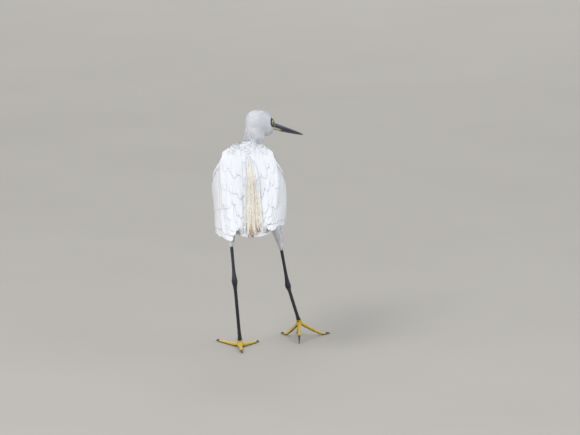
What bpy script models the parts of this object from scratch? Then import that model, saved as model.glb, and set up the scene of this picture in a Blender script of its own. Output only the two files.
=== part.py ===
"""A little egret in mid step, life size, as a still model.

The bird faces -Y with its left side at +X, and Z is up. The script works in millimetres and
hands every mesh over in metres. Body places are given as s, the distance along the back from
the shoulders towards the tail, n, the height off the back line, and an angle round the body
from the middle of the back.
"""

import math
import random

import bmesh
import bpy
import numpy as np
from mathutils import Matrix

MM = 0.001
GAP = 0.3

# The back line: where it starts at the shoulders, and how steeply it falls towards the tail.
SHOULDER_Y = -60.0
SHOULDER_Z = 309.0
BACK_SLOPE = math.radians(30.0)

# Torso: distance along the back, half width, back, belly and widest level off the back line.
TORSO_SECTIONS = (
    (-14, 7, -34, -60, -48),
    (-8, 23, -12.5, -76, -47),
    (4, 34, -1.5, -90, -45),
    (25, 42, 1.5, -98, -45),
    (55, 46, 1, -99, -45),
    (85, 46.5, 0, -94, -43),
    (115, 44, -1, -83, -39),
    (145, 35, -4, -64, -32),
    (168, 25, -7, -46, -27),
)
TORSO_SIDES = 28
TORSO_STEP = 8.5
MANTLE_RISE = 5.0

# How far the spine is carried to the left, along the back.
SPINE_SHIFT = ((-14, 3.3), (30, 3.3), (60, 2.2), (100, 0.0), (240, 0.0))

# The folded wing's inner face: distance along the back, half width and level over the back.
WING_SECTIONS = (
    (-6, 29, -6.0),
    (8, 37.5, 1.5),
    (22, 42.2, 2.9),
    (35, 45.1, 3.0),
    (75, 47.7, 2.2),
    (115, 49.0, 1.6),
    (160, 50.0, 0),
    (200, 49.0, -2),
    (240, 43.5, -4),
)

# How far along the back each wing's tip reaches: the left wing hangs lower than the right.
WING_REACH = {"l": 236.0, "r": 210.0}
LONGEST_REACH = 236.0

# The wing's smooth front part: distance along the back and thickness of each row, then where
# each column lies across the wing and its share of the thickness.
CORE_ROWS = (
    (0, 1.0),
    (8, 4.2),
    (20, 6.2),
    (38, 6.6),
    (56, 6.6),
    (66, 5.6),
    (78, 4.2),
    (102, 4.2),
    (110, 3.4),
    (120, 1.2),
    (126, 1.0),
)
CORE_COLUMNS = (
    (0.0, 0.0),
    (0.07, 0.7),
    (0.16, 1.0),
    (0.37, 1.0),
    (0.6, 1.0),
    (0.82, 1.0),
    (0.93, 0.7),
    (1.0, 0.0),
)
CORE_EDGE = 1.0

# The wing's feathers in tiers, lowest first: how many, then for the inner and the outer end of
# the row the root's distance and angle, the tip's distance and angle, then the half width and
# the rise over the wing's inner face at the root and from a quarter of the length on.
WING_TIERS = {
    "primary": (6, (106, 60, 236, 36), (106, 91, 197, 73), 5.3, 1.3, 1.3),
    "secondary": (9, (100, 38, 226, 31), (100, 88, 171, 84), 5.3, 2.6, 3.6),
    "great_covert": (8, (60, 38, 160, 38), (62, 91, 130, 91), 6.7, 4.6, 5.9),
    "middle_covert": (6, (30, 43, 98, 46), (28, 90, 92, 90), 7.6, 4.8, 8.2),
}
VANE_TILT = 0.85
VANE_EDGE = 0.25
VANE_MIDDLE = 0.4
VANE_ROWS = 5
WING_SEEDS = {"l": 11, "r": 12}

# Tail: the feathered root, then its long feathers.
TAIL_SECTIONS = (
    (168.3, 24, -7.5, -44, -26),
    (176, 21.5, -8.5, -34, -21),
    (186, 17, -10.0, -25, -17),
    (197, 13, -12.0, -19, -15),
    (204, 9, -13.5, -17, -15.2),
)
TAIL_FEATHERS = 10
TAIL_REACH = 215.5
TAIL_ROOT = 182.0
TAIL_SPREAD = 19.0
TAIL_SWING = -2.0
TAIL_ROUNDING = 0.55
TAIL_HALF_WIDTH = 5.6
TAIL_STEP = 0.95

# Long fine plumes down the middle of the back: half width at the root and at the tip of the
# bundle, and the level of the bundle off the back line.
PLUMES = 9
PLUME_ROOT = 48.0
PLUME_REACH = 219.0
PLUME_ROOT_STEP = 2.9
PLUME_TIP_STEP = 3.3
PLUME_SWING = -4.5
PLUME_HALF_WIDTH = 2.6
PLUME_LEVELS = (
    (44, 2.2),
    (66, 6.9),
    (85, 7.2),
    (110, 6.4),
    (135, 2.9),
    (160, -2.4),
    (185, -5.8),
    (210, -8.2),
    (230, -9.6),
)

# Head, in its own axes: forward, left and up from its middle.
HEAD_PLACE = (-15.0, -92.0, 330.0)
HEAD_YAW = math.radians(38.0)
HEAD_PITCH = math.radians(17.0)
HEAD_SECTIONS = (
    (-32, 3.0, 3.0, -6.0),
    (-29, 8.5, 8.5, -12.0),
    (-22, 13.4, 13.8, -18.0),
    (-11, 15.8, 17.2, -21.0),
    (0, 16.4, 18.0, -22.0),
    (10, 15.4, 16.8, -22.2),
    (18, 12.9, 13.6, -20.3),
    (24, 9.7, 10.0, -17.8),
    (29, 6.4, 6.0, -15.2),
)
# The feathered chin, a wedge below the lower bill: forward, half width, bottom.
CHIN_SECTIONS = (
    (26, 5.8, -16.4),
    (33, 4.8, -13.8),
    (41, 3.0, -10.9),
    (49, 0.8, -7.9),
)
CHIN_TOP = -7.3
HEAD_SIDES = 22
HEAD_RINGS = 14

BILL_BASE = 29.3
UPPER_BILL = (
    (29.3, 5.7, 6.2),
    (38, 5.0, 5.4),
    (52, 4.2, 4.6),
    (68, 3.3, 3.8),
    (86, 2.3, 2.8),
    (101, 1.4, 1.8),
    (108.5, 0.75, 1.0),
    (111, 0.3, 0.5),
)
LOWER_BILL = (
    (29.3, 5.4, 5.8),
    (38, 4.8, 5.3),
    (52, 4.0, 4.7),
    (68, 3.1, 3.9),
    (86, 2.1, 2.7),
    (100, 1.2, 1.6),
    (107, 0.6, 0.8),
    (109.5, 0.3, 0.5),
)
MOUTH_LEVEL = -1.2
GAPE_DROP = 0.3

EYE_FORWARD = 13.0
EYE_UP = 2.6
EYE_OUT = 9.0
EYE_RADIUS = 6.0
LID_RADIUS = 4.9
LID_THICKNESS = 0.8
LID_STEPS = 14
LID_SIDES = 6

# Neck: its line from inside the chest to the back of the head, half width and half depth.
NECK_LINE = (
    (0, -70, 258, 31, 28),
    (0, -94, 249, 26, 24),
    (-1, -113, 251, 21, 20.5),
    (-1, -125, 263, 17.5, 17.5),
    (-2, -123, 279, 15.5, 16),
    (-3, -109, 291, 15, 15),
    (-5, -96, 301, 15.5, 15.5),
    (-6, -86, 312, 15.5, 16),
    (-5, -79, 328, 13.5, 14.5),
)
NECK_SIDES = 18
NECK_SPLIT = 0.5

# Legs: knee inside the body, ankle, and the ball of the foot. +X is the bird's left.
LEGS = {
    "l": {"knee": (33, -30, 209), "ankle": (23, 20, 105), "ball": (15, 0, 6.4)},
    "r": {"knee": (-36, -29, 207), "ankle": (-57, 3, 94.6), "ball": (-74, -70, 25.3)},
}
# The feathered thigh down the leg: share of the way to the ankle, how far it is drawn in
# towards the body's middle, half width and half depth.
THIGH_SECTIONS = (
    (-0.06, 11, 7.0, 13),
    (0.0, 10, 10.0, 20),
    (0.1, 8, 11.5, 23),
    (0.2, 4, 9.6, 20),
    (0.3, 1, 7.9, 15),
    (0.38, 0, 6.8, 10.5),
    (0.47, 0, 5.0, 6.6),
    (0.55, 0, 3.6, 4.0),
)
THIGH_SIDES = 16
TIBIA_RADIUS = 2.5
ANKLE_RADIUS = 4.6
TARSUS_RADIUS = 2.7
BALL_RADIUS = 4.6

# Toes: turn from straight ahead towards the outer side, length, radius at root and at tip,
# and the number of joints that show.
TOES = {
    "inner": (-34, 42, 3.1, 2.1, 2),
    "middle": (2, 60, 3.3, 2.1, 3),
    "outer": (36, 54, 3.1, 2.0, 4),
    "hind": (184, 33, 3.2, 2.1, 1),
}
RIGHT_TOE_TURNS = {"inner": -38, "middle": -2, "outer": 53, "hind": 180}
# How far along each front toe lies flat on the floor from here on, as a share of its length.
LEFT_TOES_LAND = 0.27
RIGHT_TOES_LAND = {"inner": 0.86, "middle": 0.68, "outer": 0.9, "hind": 1.0}
TOE_POINTS = 9
CLAW_LENGTHS = {"inner": 9, "middle": 11, "outer": 9, "hind": 15}
FLAT_DEPTH = 0.35


def spline(knots, values):
    """A smooth curve through the values at the knots, with slopes from the neighbours."""
    knots = np.asarray(knots, float)
    values = np.asarray(values, float)
    widths = np.diff(knots)[:, None]
    rises = np.diff(values, axis=0) / widths
    slopes = np.vstack([rises[:1], rises[:1], rises[1:]])[: len(values)]
    slopes[1:-1] = (rises[:-1] * widths[1:] + rises[1:] * widths[:-1]) / (widths[:-1] + widths[1:])
    slopes[-1] = rises[-1]

    def at(x):
        i = int(np.clip(np.searchsorted(knots, x) - 1, 0, len(widths) - 1))
        width = widths[i, 0]
        t = (x - knots[i]) / width
        return (
            (2 * t**3 - 3 * t**2 + 1) * values[i]
            + (t**3 - 2 * t**2 + t) * width * slopes[i]
            + (3 * t**2 - 2 * t**3) * values[i + 1]
            + (t**3 - t**2) * width * slopes[i + 1]
        )

    return at


def sections(rows):
    return spline([row[0] for row in rows], [row[1:] for row in rows])


torso_at = sections(TORSO_SECTIONS)
spine_at = sections(SPINE_SHIFT)
wing_at = sections(WING_SECTIONS)
head_at = sections(HEAD_SECTIONS)


def body_point(s, x, n):
    """The place at s along the back, x to the left of the spine and n off the back line."""
    y = SHOULDER_Y + s * math.cos(BACK_SLOPE) + n * math.sin(BACK_SLOPE)
    z = SHOULDER_Z - s * math.sin(BACK_SLOPE) + n * math.cos(BACK_SLOPE)
    return np.array([x + spine_at(s)[0], y, z])


def ease(low, high, x):
    t = min(max((x - low) / (high - low), 0.0), 1.0)
    return t * t * (3 - 2 * t)


def closed_mesh(name, points, faces):
    """A mesh in metres from points in millimetres, with its faces turned outwards."""
    mesh = bpy.data.meshes.new(name)
    mesh.from_pydata([tuple(float(c) * MM for c in point) for point in points], [], faces)
    work = bmesh.new()
    work.from_mesh(mesh)
    bmesh.ops.recalc_face_normals(work, faces=work.faces)
    work.to_mesh(mesh)
    work.free()
    return mesh


def loft(name, rings):
    """A closed skin over rings of equally many points, with a fan of faces on each end."""
    sides = len(rings[0])
    points = [point for ring in rings for point in ring]
    faces = []
    for row in range(len(rings) - 1):
        for i in range(sides):
            j = (i + 1) % sides
            low, high = row * sides, (row + 1) * sides
            faces.append((low + i, low + j, high + j, high + i))
    for row in (0, len(rings) - 1):
        points.append(np.mean(rings[row], axis=0))
        for i in range(sides):
            faces.append((row * sides + i, row * sides + (i + 1) % sides, len(points) - 1))
    return closed_mesh(name, points, faces)


def slab(name, lower, upper):
    """A closed solid between two grids of points, split into triangles alike on both faces."""
    rows, columns = len(lower), len(lower[0])
    points = [point for grid in (lower, upper) for line in grid for point in line]
    faces = []
    for sheet in range(2):
        for i in range(rows - 1):
            for j in range(columns - 1):
                a = sheet * rows * columns + i * columns + j
                b, c, d = a + 1, a + columns + 1, a + columns
                faces += [(a, b, c), (a, c, d)]
    rim = [j for j in range(columns)]
    rim += [i * columns + columns - 1 for i in range(1, rows)]
    rim += [(rows - 1) * columns + j for j in range(columns - 2, -1, -1)]
    rim += [i * columns for i in range(rows - 2, 0, -1)]
    top = rows * columns
    for a, b in zip(rim, rim[1:] + rim[:1]):
        faces.append((a, b, top + b, top + a))
    return closed_mesh(name, points, faces)


def tube(name, path, radii, resolution=2):
    """A round tapering piece along a path, made as a bevelled curve and kept as a mesh."""
    curve = bpy.data.curves.new(name, "CURVE")
    curve.dimensions = "3D"
    curve.bevel_depth = MM
    curve.bevel_resolution = resolution
    curve.use_fill_caps = True
    line = curve.splines.new("POLY")
    line.points.add(len(path) - 1)
    for point, place, radius in zip(line.points, path, radii):
        point.co = (*(float(c) * MM for c in place), 1.0)
        point.radius = float(radius)
    guide = bpy.data.objects.new(name, curve)
    bpy.context.scene.collection.objects.link(guide)
    graph = bpy.context.evaluated_depsgraph_get()
    mesh = bpy.data.meshes.new_from_object(guide.evaluated_get(graph))
    bpy.data.objects.remove(guide)
    bpy.data.curves.remove(curve)
    mesh.name = name
    work = bmesh.new()
    work.from_mesh(mesh)
    bmesh.ops.remove_doubles(work, verts=work.verts, dist=1e-6)
    bmesh.ops.recalc_face_normals(work, faces=work.faces)
    work.to_mesh(mesh)
    work.free()
    return mesh


def ball(name, centre, radius, rings=8, scale=(1, 1, 1)):
    mesh = bpy.data.meshes.new(name)
    work = bmesh.new()
    place = Matrix.Translation([float(c) * MM for c in centre])
    place = place @ Matrix.Diagonal((*scale, 1))
    bmesh.ops.create_uvsphere(
        work, u_segments=2 * rings, v_segments=rings, radius=radius * MM, matrix=place
    )
    work.to_mesh(mesh)
    work.free()
    return mesh


def put(name, mesh, where):
    piece = bpy.data.objects.new(name, mesh)
    where.objects.link(piece)
    return piece


def bake(piece):
    """Applies the piece's modifiers."""
    bpy.context.view_layer.update()
    graph = bpy.context.evaluated_depsgraph_get()
    mesh = bpy.data.meshes.new_from_object(piece.evaluated_get(graph))
    piece.modifiers.clear()
    piece.data = mesh
    mesh.name = piece.name


def keep_largest(piece):
    """Keeps the largest closed surface of a piece."""
    work = bmesh.new()
    work.from_mesh(piece.data)
    bodies, seen = [], set()
    for start in work.faces:
        if start in seen:
            continue
        body, reach = [], [start]
        seen.add(start)
        while reach:
            face = reach.pop()
            body.append(face)
            for edge in face.edges:
                for other in edge.link_faces if len(edge.link_faces) == 2 else ():
                    if other not in seen:
                        seen.add(other)
                        reach.append(other)
        bodies.append(body)
    bodies.sort(key=lambda body: sum(face.calc_area() for face in body), reverse=True)
    if len(bodies) > 1:
        spare = [face for body in bodies[1:] for face in body]
        bmesh.ops.delete(work, geom=spare, context="FACES")
    work.to_mesh(piece.data)
    work.free()


def combine(piece, meshes, operation, solver="MANIFOLD"):
    """Joins meshes to a piece, or cuts them from it, and keeps one closed body."""
    others = bpy.data.collections.new(piece.name + "_others")
    bpy.context.scene.collection.children.link(others)
    for mesh in meshes:
        put(mesh.name, mesh, others)
    boolean = piece.modifiers.new("combine", "BOOLEAN")
    boolean.operation = operation
    boolean.solver = solver
    boolean.operand_type = "COLLECTION"
    boolean.collection = others
    bake(piece)
    for other in list(others.objects):
        bpy.data.objects.remove(other)
    bpy.data.collections.remove(others)
    keep_largest(piece)


def material(name, colour, roughness, metallic=0.0):
    made = bpy.data.materials.new(name)
    made.use_nodes = True
    shader = made.node_tree.nodes["Principled BSDF"]
    shader.inputs["Base Color"].default_value = (*colour, 1.0)
    shader.inputs["Roughness"].default_value = roughness
    shader.inputs["Metallic"].default_value = metallic
    return made


def mantle(s, angle):
    """How far the back feathers fill the groove between the two folded wings."""
    turned = abs((math.degrees(angle) + 180) % 360 - 180)
    return MANTLE_RISE * (1 - ease(14, 24, turned)) * ease(-10, 20, s) * (1 - ease(115, 160, s))


def torso_ring(s, grow=0.0):
    half_width, back, belly, middle = torso_at(s)
    ring = []
    for k in range(TORSO_SIDES):
        angle = 2 * math.pi * k / TORSO_SIDES
        out = grow + mantle(s, angle)
        height = back - middle if math.cos(angle) > 0 else middle - belly
        x = (half_width + out) * math.sin(angle)
        ring.append(body_point(s, x, middle + (height + out) * math.cos(angle)))
    return ring


def torso_mesh(name, grow=0.0):
    first, last = TORSO_SECTIONS[0][0], TORSO_SECTIONS[-1][0]
    steps = round((last - first) / TORSO_STEP)
    places = [first + (last - first) * i / steps for i in range(steps + 1)]
    rings = [torso_ring(s, grow) for s in places]
    ahead = body_point(first - grow, 0, 0) - body_point(first, 0, 0)
    rings[0] = [point + ahead for point in rings[0]]
    return loft(name, rings)


def torso_level(s):
    """The widest level of the body at s, carried on behind the torso's end."""
    end = TORSO_SECTIONS[-1][0]
    return torso_at(min(s, end))[3] + 0.18 * max(s - end, 0)


def wing_point(side, s, angle, rise):
    """A place on the folded wing, at rise over its inner face. Side is 1 on the left."""
    half_width, back = wing_at(s)
    middle = torso_level(s)
    x = side * (half_width + rise) * math.sin(angle)
    return body_point(s, x, middle + (back - middle + rise) * math.cos(angle))


def wing_edges(s):
    """The inner and outer edge, as angles, of the wing's smooth front part."""
    share = (s - CORE_ROWS[0][0]) / (CORE_ROWS[-1][0] - CORE_ROWS[0][0])
    inner = 30 - 8 * ease(0.0, 0.5, share) + 6 * ease(0.7, 1.0, share)
    outer = 97 + 7 * ease(0.05, 0.5, share) - 6 * ease(0.7, 1.0, share)
    return math.radians(inner), math.radians(outer)


def wing_core(name, side):
    """The wing's smooth front part, thick over the shoulder and thin at every edge."""
    lower, upper = [], []
    for s, thickness in CORE_ROWS:
        inner, outer = wing_edges(s)
        low_line, high_line = [], []
        for across, crown in CORE_COLUMNS:
            angle = inner + (outer - inner) * across
            top = CORE_EDGE + (thickness - CORE_EDGE) * crown
            low_line.append(wing_point(side, s, angle, 0.0))
            high_line.append(wing_point(side, s, angle, top))
        lower.append(low_line)
        upper.append(high_line)
    return slab(name, lower, upper)


def vane_width(share, full):
    """Half width of a vane along its length: a narrow root, full sides and a round tip."""
    root = 0.45 + 0.55 * ease(0.0, 0.3, share)
    return full * root * (1 - 0.82 * max(share - 0.72, 0.0) ** 2 / 0.28**2)


def wing_vane(side, root, tip, full, sunk, rise):
    """One feather from root to tip, each a distance and an angle, lying on the wing."""
    lower, upper = [], []
    for i in range(VANE_ROWS):
        share = i / (VANE_ROWS - 1)
        s = root[0] + (tip[0] - root[0]) * share
        middle = root[1] + (tip[1] - root[1]) * share**1.6
        half_width, back = wing_at(s)
        height = back - torso_level(s)
        spread = math.hypot(half_width * math.cos(middle), height * math.sin(middle))
        low_line, high_line = [], []
        for k in (-1, 0, 1):
            angle = middle + k * vane_width(share, full) / spread
            level = sunk + (rise - sunk) * ease(0.0, 0.2, share) + VANE_TILT * k
            thick = VANE_EDGE if k else VANE_MIDDLE
            low_line.append(wing_point(side, s, angle, level - thick))
            high_line.append(wing_point(side, s, angle, level + thick))
        lower.append(low_line)
        upper.append(high_line)
    return slab("vane", lower, upper)


def wing_vanes(tag, side):
    """All tiers of one wing. The tips of a shorter wing draw forward, the longest the most."""
    draw = random.Random(WING_SEEDS[tag])
    vanes = []
    for count, inner, outer, full, sunk, rise in WING_TIERS.values():
        for i in range(count):
            share = i / (count - 1)
            row = [a + (b - a) * share for a, b in zip(inner, outer)]
            shorter = LONGEST_REACH - WING_REACH[tag]
            shortened = shorter * ease(90, LONGEST_REACH, row[2])
            root = (row[0], math.radians(row[1]))
            tip_s = row[2] - shortened + draw.uniform(-2.0, 2.0)
            tip = (tip_s, math.radians(row[3] + draw.uniform(-0.8, 0.8)))
            width = full * draw.uniform(0.96, 1.04)
            vanes.append(wing_vane(side, root, tip, width, sunk, rise))
    return vanes


def make_wing(tag, where):
    side = 1 if tag == "l" else -1
    wing = put("wing_" + tag, wing_core("wing_" + tag, side), where)
    combine(wing, wing_vanes(tag, side), "UNION")
    return wing


def flat_vane(line, half_widths, levels, thick):
    """A feather over the rump or tail: a line of (s, x), with half widths and levels."""
    lower, upper = [], []
    for i, (s, x) in enumerate(line):
        low_line, high_line = [], []
        for k in (-1, 0, 1):
            bulge = 0.15 * half_widths[i] * (1 - abs(k))
            level = levels[i] + bulge
            low_line.append(body_point(s, x + k * half_widths[i], level - thick))
            high_line.append(body_point(s, x + k * half_widths[i], level + thick))
        lower.append(low_line)
        upper.append(high_line)
    return slab("vane", lower, upper)


def make_tail(where):
    """The feathered root with its fan of long feathers, the middle pair on top."""
    tail_at = sections(TAIL_SECTIONS)
    first, last = TAIL_SECTIONS[0][0], TAIL_SECTIONS[-1][0]
    rings = []
    for i in range(7):
        s = first + (last - first) * i / 6
        half_width, top, bottom, middle = tail_at(s)
        ring = []
        for k in range(20):
            angle = math.pi * k / 10
            height = top - middle if math.cos(angle) > 0 else middle - bottom
            x = half_width * math.sin(angle)
            ring.append(body_point(s, x, middle + height * math.cos(angle)))
        rings.append(ring)
    tail = put("tail", loft("tail", rings), where)
    vanes = []
    for j in range(TAIL_FEATHERS):
        out = j - (TAIL_FEATHERS - 1) / 2
        reach = TAIL_REACH - TAIL_ROUNDING * out**2
        line, widths, levels = [], [], []
        for i in range(VANE_ROWS):
            share = i / (VANE_ROWS - 1)
            x = out / 4.5 * (6.0 + (TAIL_SPREAD - 6.0) * share) + TAIL_SWING * share
            line.append((TAIL_ROOT + (reach - TAIL_ROOT) * share, x))
            widths.append(vane_width(share, TAIL_HALF_WIDTH))
            levels.append(-12.6 - 0.9 * share - TAIL_STEP * abs(out))
        vanes.append(flat_vane(line, widths, levels, 0.27))
    combine(tail, vanes, "UNION")
    return tail


def plume_meshes():
    """The long back plumes as flat tapered locks, rooted between the shoulders."""
    level_at = sections(PLUME_LEVELS)
    draw = random.Random(5)
    locks = []
    for j in range(PLUMES):
        out = j - (PLUMES - 1) / 2
        reach = PLUME_REACH - 3.0 * abs(out) + draw.uniform(-5, 3)
        root = PLUME_ROOT + 4.0 * abs(out)
        line, widths, levels = [], [], []
        for i in range(6):
            share = i / 5
            gather = PLUME_ROOT_STEP + (PLUME_TIP_STEP - PLUME_ROOT_STEP) * share
            s = root + (reach - root) * share
            line.append((s, out * gather + PLUME_SWING * share + draw.uniform(-0.3, 0.3)))
            full = 1.0 + (PLUME_HALF_WIDTH - 1.0) * ease(0.1, 0.35, share)
            widths.append(full * (1 - share**2.2) + 0.35)
            levels.append(level_at(s)[0] + (j % 2) * 1.6 * ease(0.0, 0.2, share))
        locks.append(flat_vane(line, widths, levels, 0.27))
    return locks


def head_frame():
    """The head's forward, left and up directions and its middle, in millimetres."""
    flat = np.array([-math.sin(HEAD_YAW), -math.cos(HEAD_YAW), 0.0])
    up = np.array([0.0, 0.0, 1.0])
    forward = math.cos(HEAD_PITCH) * flat - math.sin(HEAD_PITCH) * up
    over = math.sin(HEAD_PITCH) * flat + math.cos(HEAD_PITCH) * up
    left = np.cross(over, forward)
    return forward, left, over, np.array(HEAD_PLACE)


def head_point(x, y, z):
    forward, left, over, middle = head_frame()
    return middle + x * forward + y * left + z * over


def head_ring(x, grow=0.0):
    half_width, top, bottom = head_at(x)
    middle = (top + bottom) / 2
    half_height = (top - bottom) / 2
    ring = []
    for k in range(HEAD_SIDES):
        angle = 2 * math.pi * k / HEAD_SIDES
        y = (half_width + grow) * math.sin(angle)
        ring.append(head_point(x, y, middle + (half_height + grow) * math.cos(angle)))
    return ring


def head_mesh(name, grow=0.0):
    first, last = HEAD_SECTIONS[0][0], HEAD_SECTIONS[-1][0]
    places = [first + (last - first) * i / HEAD_RINGS for i in range(HEAD_RINGS + 1)]
    rings = [head_ring(x, grow) for x in places]
    behind = head_point(-grow, 0, 0) - head_point(0, 0, 0)
    rings[0] = [point + behind for point in rings[0]]
    return loft(name, rings)


def bill_mesh(name, rows, upward):
    """Half of the bill: flat on the mouth line and round on the other side."""
    bill_at = sections(rows)
    rings = []
    for i in range(11):
        x = rows[0][0] + (rows[-1][0] - rows[0][0]) * (i / 10) ** 0.9
        half_width, height = bill_at(x)
        level = MOUTH_LEVEL + upward * GAP / 2
        ring = []
        for k in range(9):
            angle = math.pi * k / 8
            y = half_width * math.cos(angle)
            ring.append(head_point(x, y, level + upward * height * math.sin(angle)))
        rings.append(ring)
    return loft(name, rings)


def side_of_head(x, z, grow=0.0):
    """How far the head's side lies from its middle plane at x forward and z up."""
    half_width, top, bottom = head_at(x)
    middle = (top + bottom) / 2
    half_height = (top - bottom) / 2
    return (half_width + grow) * math.sqrt(max(1 - ((z - middle) / half_height) ** 2, 0.01))


def eye_place(side):
    return head_point(EYE_FORWARD, side * EYE_OUT, EYE_UP)


def lid_ring(name, side):
    """The rim of both lids round an eye, a ring that keeps clear of the eyeball."""
    out = math.sqrt((EYE_RADIUS + GAP + 0.6 * LID_THICKNESS) ** 2 - LID_RADIUS**2)
    rings = []
    for k in range(LID_STEPS):
        angle = 2 * math.pi * k / LID_STEPS
        ring = []
        for m in range(LID_SIDES):
            turn = 2 * math.pi * m / LID_SIDES
            radius = LID_RADIUS + LID_THICKNESS * math.cos(turn)
            x = EYE_FORWARD + radius * math.cos(angle)
            z = EYE_UP + radius * math.sin(angle)
            y = side * (EYE_OUT + out + LID_THICKNESS * math.sin(turn))
            ring.append(head_point(x, y, z))
        rings.append(ring)
    points = [point for ring in rings for point in ring]
    faces = []
    for k in range(LID_STEPS):
        here, ahead = k * LID_SIDES, (k + 1) % LID_STEPS * LID_SIDES
        for m in range(LID_SIDES):
            n = (m + 1) % LID_SIDES
            faces.append((here + m, here + n, ahead + n, ahead + m))
    return closed_mesh(name, points, faces)


def chin_mesh():
    """The wedge of chin feathers below the lower bill."""
    chin_at = sections(CHIN_SECTIONS)
    first, last = CHIN_SECTIONS[0][0], CHIN_SECTIONS[-1][0]
    rings = []
    for i in range(7):
        x = first + (last - first) * i / 6
        half_width, bottom = chin_at(x)
        ring = []
        for k in range(9):
            angle = math.pi * k / 8
            y = half_width * math.cos(angle)
            ring.append(head_point(x, y, CHIN_TOP + (bottom - CHIN_TOP) * math.sin(angle)))
        rings.append(ring)
    return loft("chin", rings)


def make_head(where):
    head = put("head", head_mesh("head"), where)
    cutters = []
    additions = [chin_mesh()]
    for side in (1, -1):
        cutters.append(ball("socket", eye_place(side), EYE_RADIUS + GAP, rings=8))
        path = []
        for x in (13, 17, 21, 25, 30):
            z = MOUTH_LEVEL - GAPE_DROP * (BILL_BASE - x)
            path.append(head_point(x, side * side_of_head(min(x, 29), z), z))
        cutters.append(tube("mouth", path, [0.5] * len(path), 1))
        additions.append(lid_ring("lid", side))
    combine(head, additions, "UNION")
    combine(head, cutters, "DIFFERENCE")
    return head


def make_bill(where):
    upper = put("bill_upper", bill_mesh("bill_upper", UPPER_BILL, 1), where)
    lower = put("bill_lower", bill_mesh("bill_lower", LOWER_BILL, -1), where)
    nostrils = []
    for side in (1, -1):
        path = []
        for x in (33, 36, 39):
            path.append(head_point(x, side * (5.3 - 0.05 * (x - 33)), MOUTH_LEVEL + 2.9))
        nostrils.append(tube("nostril", path, [0.5, 0.7, 0.4], 2))
    combine(upper, nostrils, "DIFFERENCE")
    return upper, lower


def make_eyes(where):
    eyes = []
    for side, name in ((1, "eye_l"), (-1, "eye_r")):
        eyes.append(put(name, ball(name, eye_place(side), EYE_RADIUS, rings=8), where))
    return eyes


def neck_rings(first, last, count):
    rows = np.array(NECK_LINE, float)
    steps = np.linalg.norm(np.diff(rows[:, :3], axis=0), axis=1)
    travelled = np.concatenate([[0], np.cumsum(steps)])
    line = spline(travelled / travelled[-1], rows)
    rings = []
    for share in np.linspace(first, last, count):
        here = line(share)
        ahead, behind = line(min(share + 0.01, 1.0)), line(max(share - 0.01, 0.0))
        along = (ahead - behind)[:3]
        along /= np.linalg.norm(along)
        across = np.array([1.0, 0.0, 0.0])
        across = across - along * np.dot(across, along)
        across /= np.linalg.norm(across)
        over = np.cross(along, across)
        ring = []
        for k in range(NECK_SIDES):
            angle = 2 * math.pi * k / NECK_SIDES
            ring.append(
                here[:3] + across * here[3] * math.sin(angle) + over * here[4] * math.cos(angle)
            )
        rings.append(ring)
    return rings


def make_neck(where):
    """Two lengths that meet on a thin gap, cut to the chest and to the head."""
    half_gap = GAP / 2 / 150
    lower = loft("neck_lower", neck_rings(0.0, NECK_SPLIT - half_gap, 10))
    upper = loft("neck_upper", neck_rings(NECK_SPLIT + half_gap, 1.0, 11))
    lower = put("neck_lower", lower, where)
    upper = put("neck_upper", upper, where)
    combine(lower, [torso_mesh("chest_cut", GAP)], "DIFFERENCE")
    combine(upper, [head_mesh("head_cut", GAP), torso_mesh("chest_cut", GAP)], "DIFFERENCE")
    return lower, upper


def between(a, b, share):
    return np.array(a, float) * (1 - share) + np.array(b, float) * share


def unit(vector):
    return vector / np.linalg.norm(vector)


def make_leg(tag, where):
    leg = LEGS[tag]
    knee, ankle, foot = (np.array(leg[key], float) for key in ("knee", "ankle", "ball"))
    down = unit(ankle - knee)
    feather_end = between(knee, ankle, THIGH_SECTIONS[-1][0])
    across = unit(np.cross(down, [0, 1, 0]))
    fore = np.cross(across, down)
    inward = np.array([-1.0 if tag == "l" else 1.0, 0.0, 0.0])
    rings = []
    for share, drawn_in, half_width, half_depth in THIGH_SECTIONS:
        centre = between(knee, ankle, share) + inward * drawn_in
        ring = []
        for k in range(THIGH_SIDES):
            angle = 2 * math.pi * k / THIGH_SIDES
            out = across * half_width * math.cos(angle) + fore * half_depth * math.sin(angle)
            ring.append(centre + out)
        rings.append(ring)
    thigh = put("thigh_" + tag, loft("thigh_" + tag, rings), where)
    combine(thigh, [torso_mesh("belly_cut", GAP)], "DIFFERENCE")

    joint = ankle - down * 5.0
    start = feather_end + down * GAP
    path = [between(start, joint, t) for t in (0, 0.25, 0.5, 0.75, 0.9, 1)]
    radii = [TIBIA_RADIUS + 0.2, TIBIA_RADIUS, TIBIA_RADIUS, TIBIA_RADIUS + 0.2, 3.3, 4.1]
    tibia = put("tibia_" + tag, tube("tibia_" + tag, path, radii), where)

    shank = unit(foot - ankle)
    length = np.linalg.norm(foot - ankle)
    end = foot - shank * (BALL_RADIUS + 1.5)
    path = [joint + down * GAP, ankle - down * 2, ankle + shank * 1.5, ankle + shank * 7]
    radii = [4.1, ANKLE_RADIUS, ANKLE_RADIUS, 3.5]
    for t in (0.14, 0.35, 0.6, 0.8, 0.9):
        path.append(ankle + shank * length * t)
        radii.append(TARSUS_RADIUS if t < 0.85 else TARSUS_RADIUS + 0.5)
    path.append(end)
    radii.append(3.8)
    tarsus = put("tarsus_" + tag, tube("tarsus_" + tag, path, radii), where)
    return thigh, tibia, tarsus, end, shank


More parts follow.
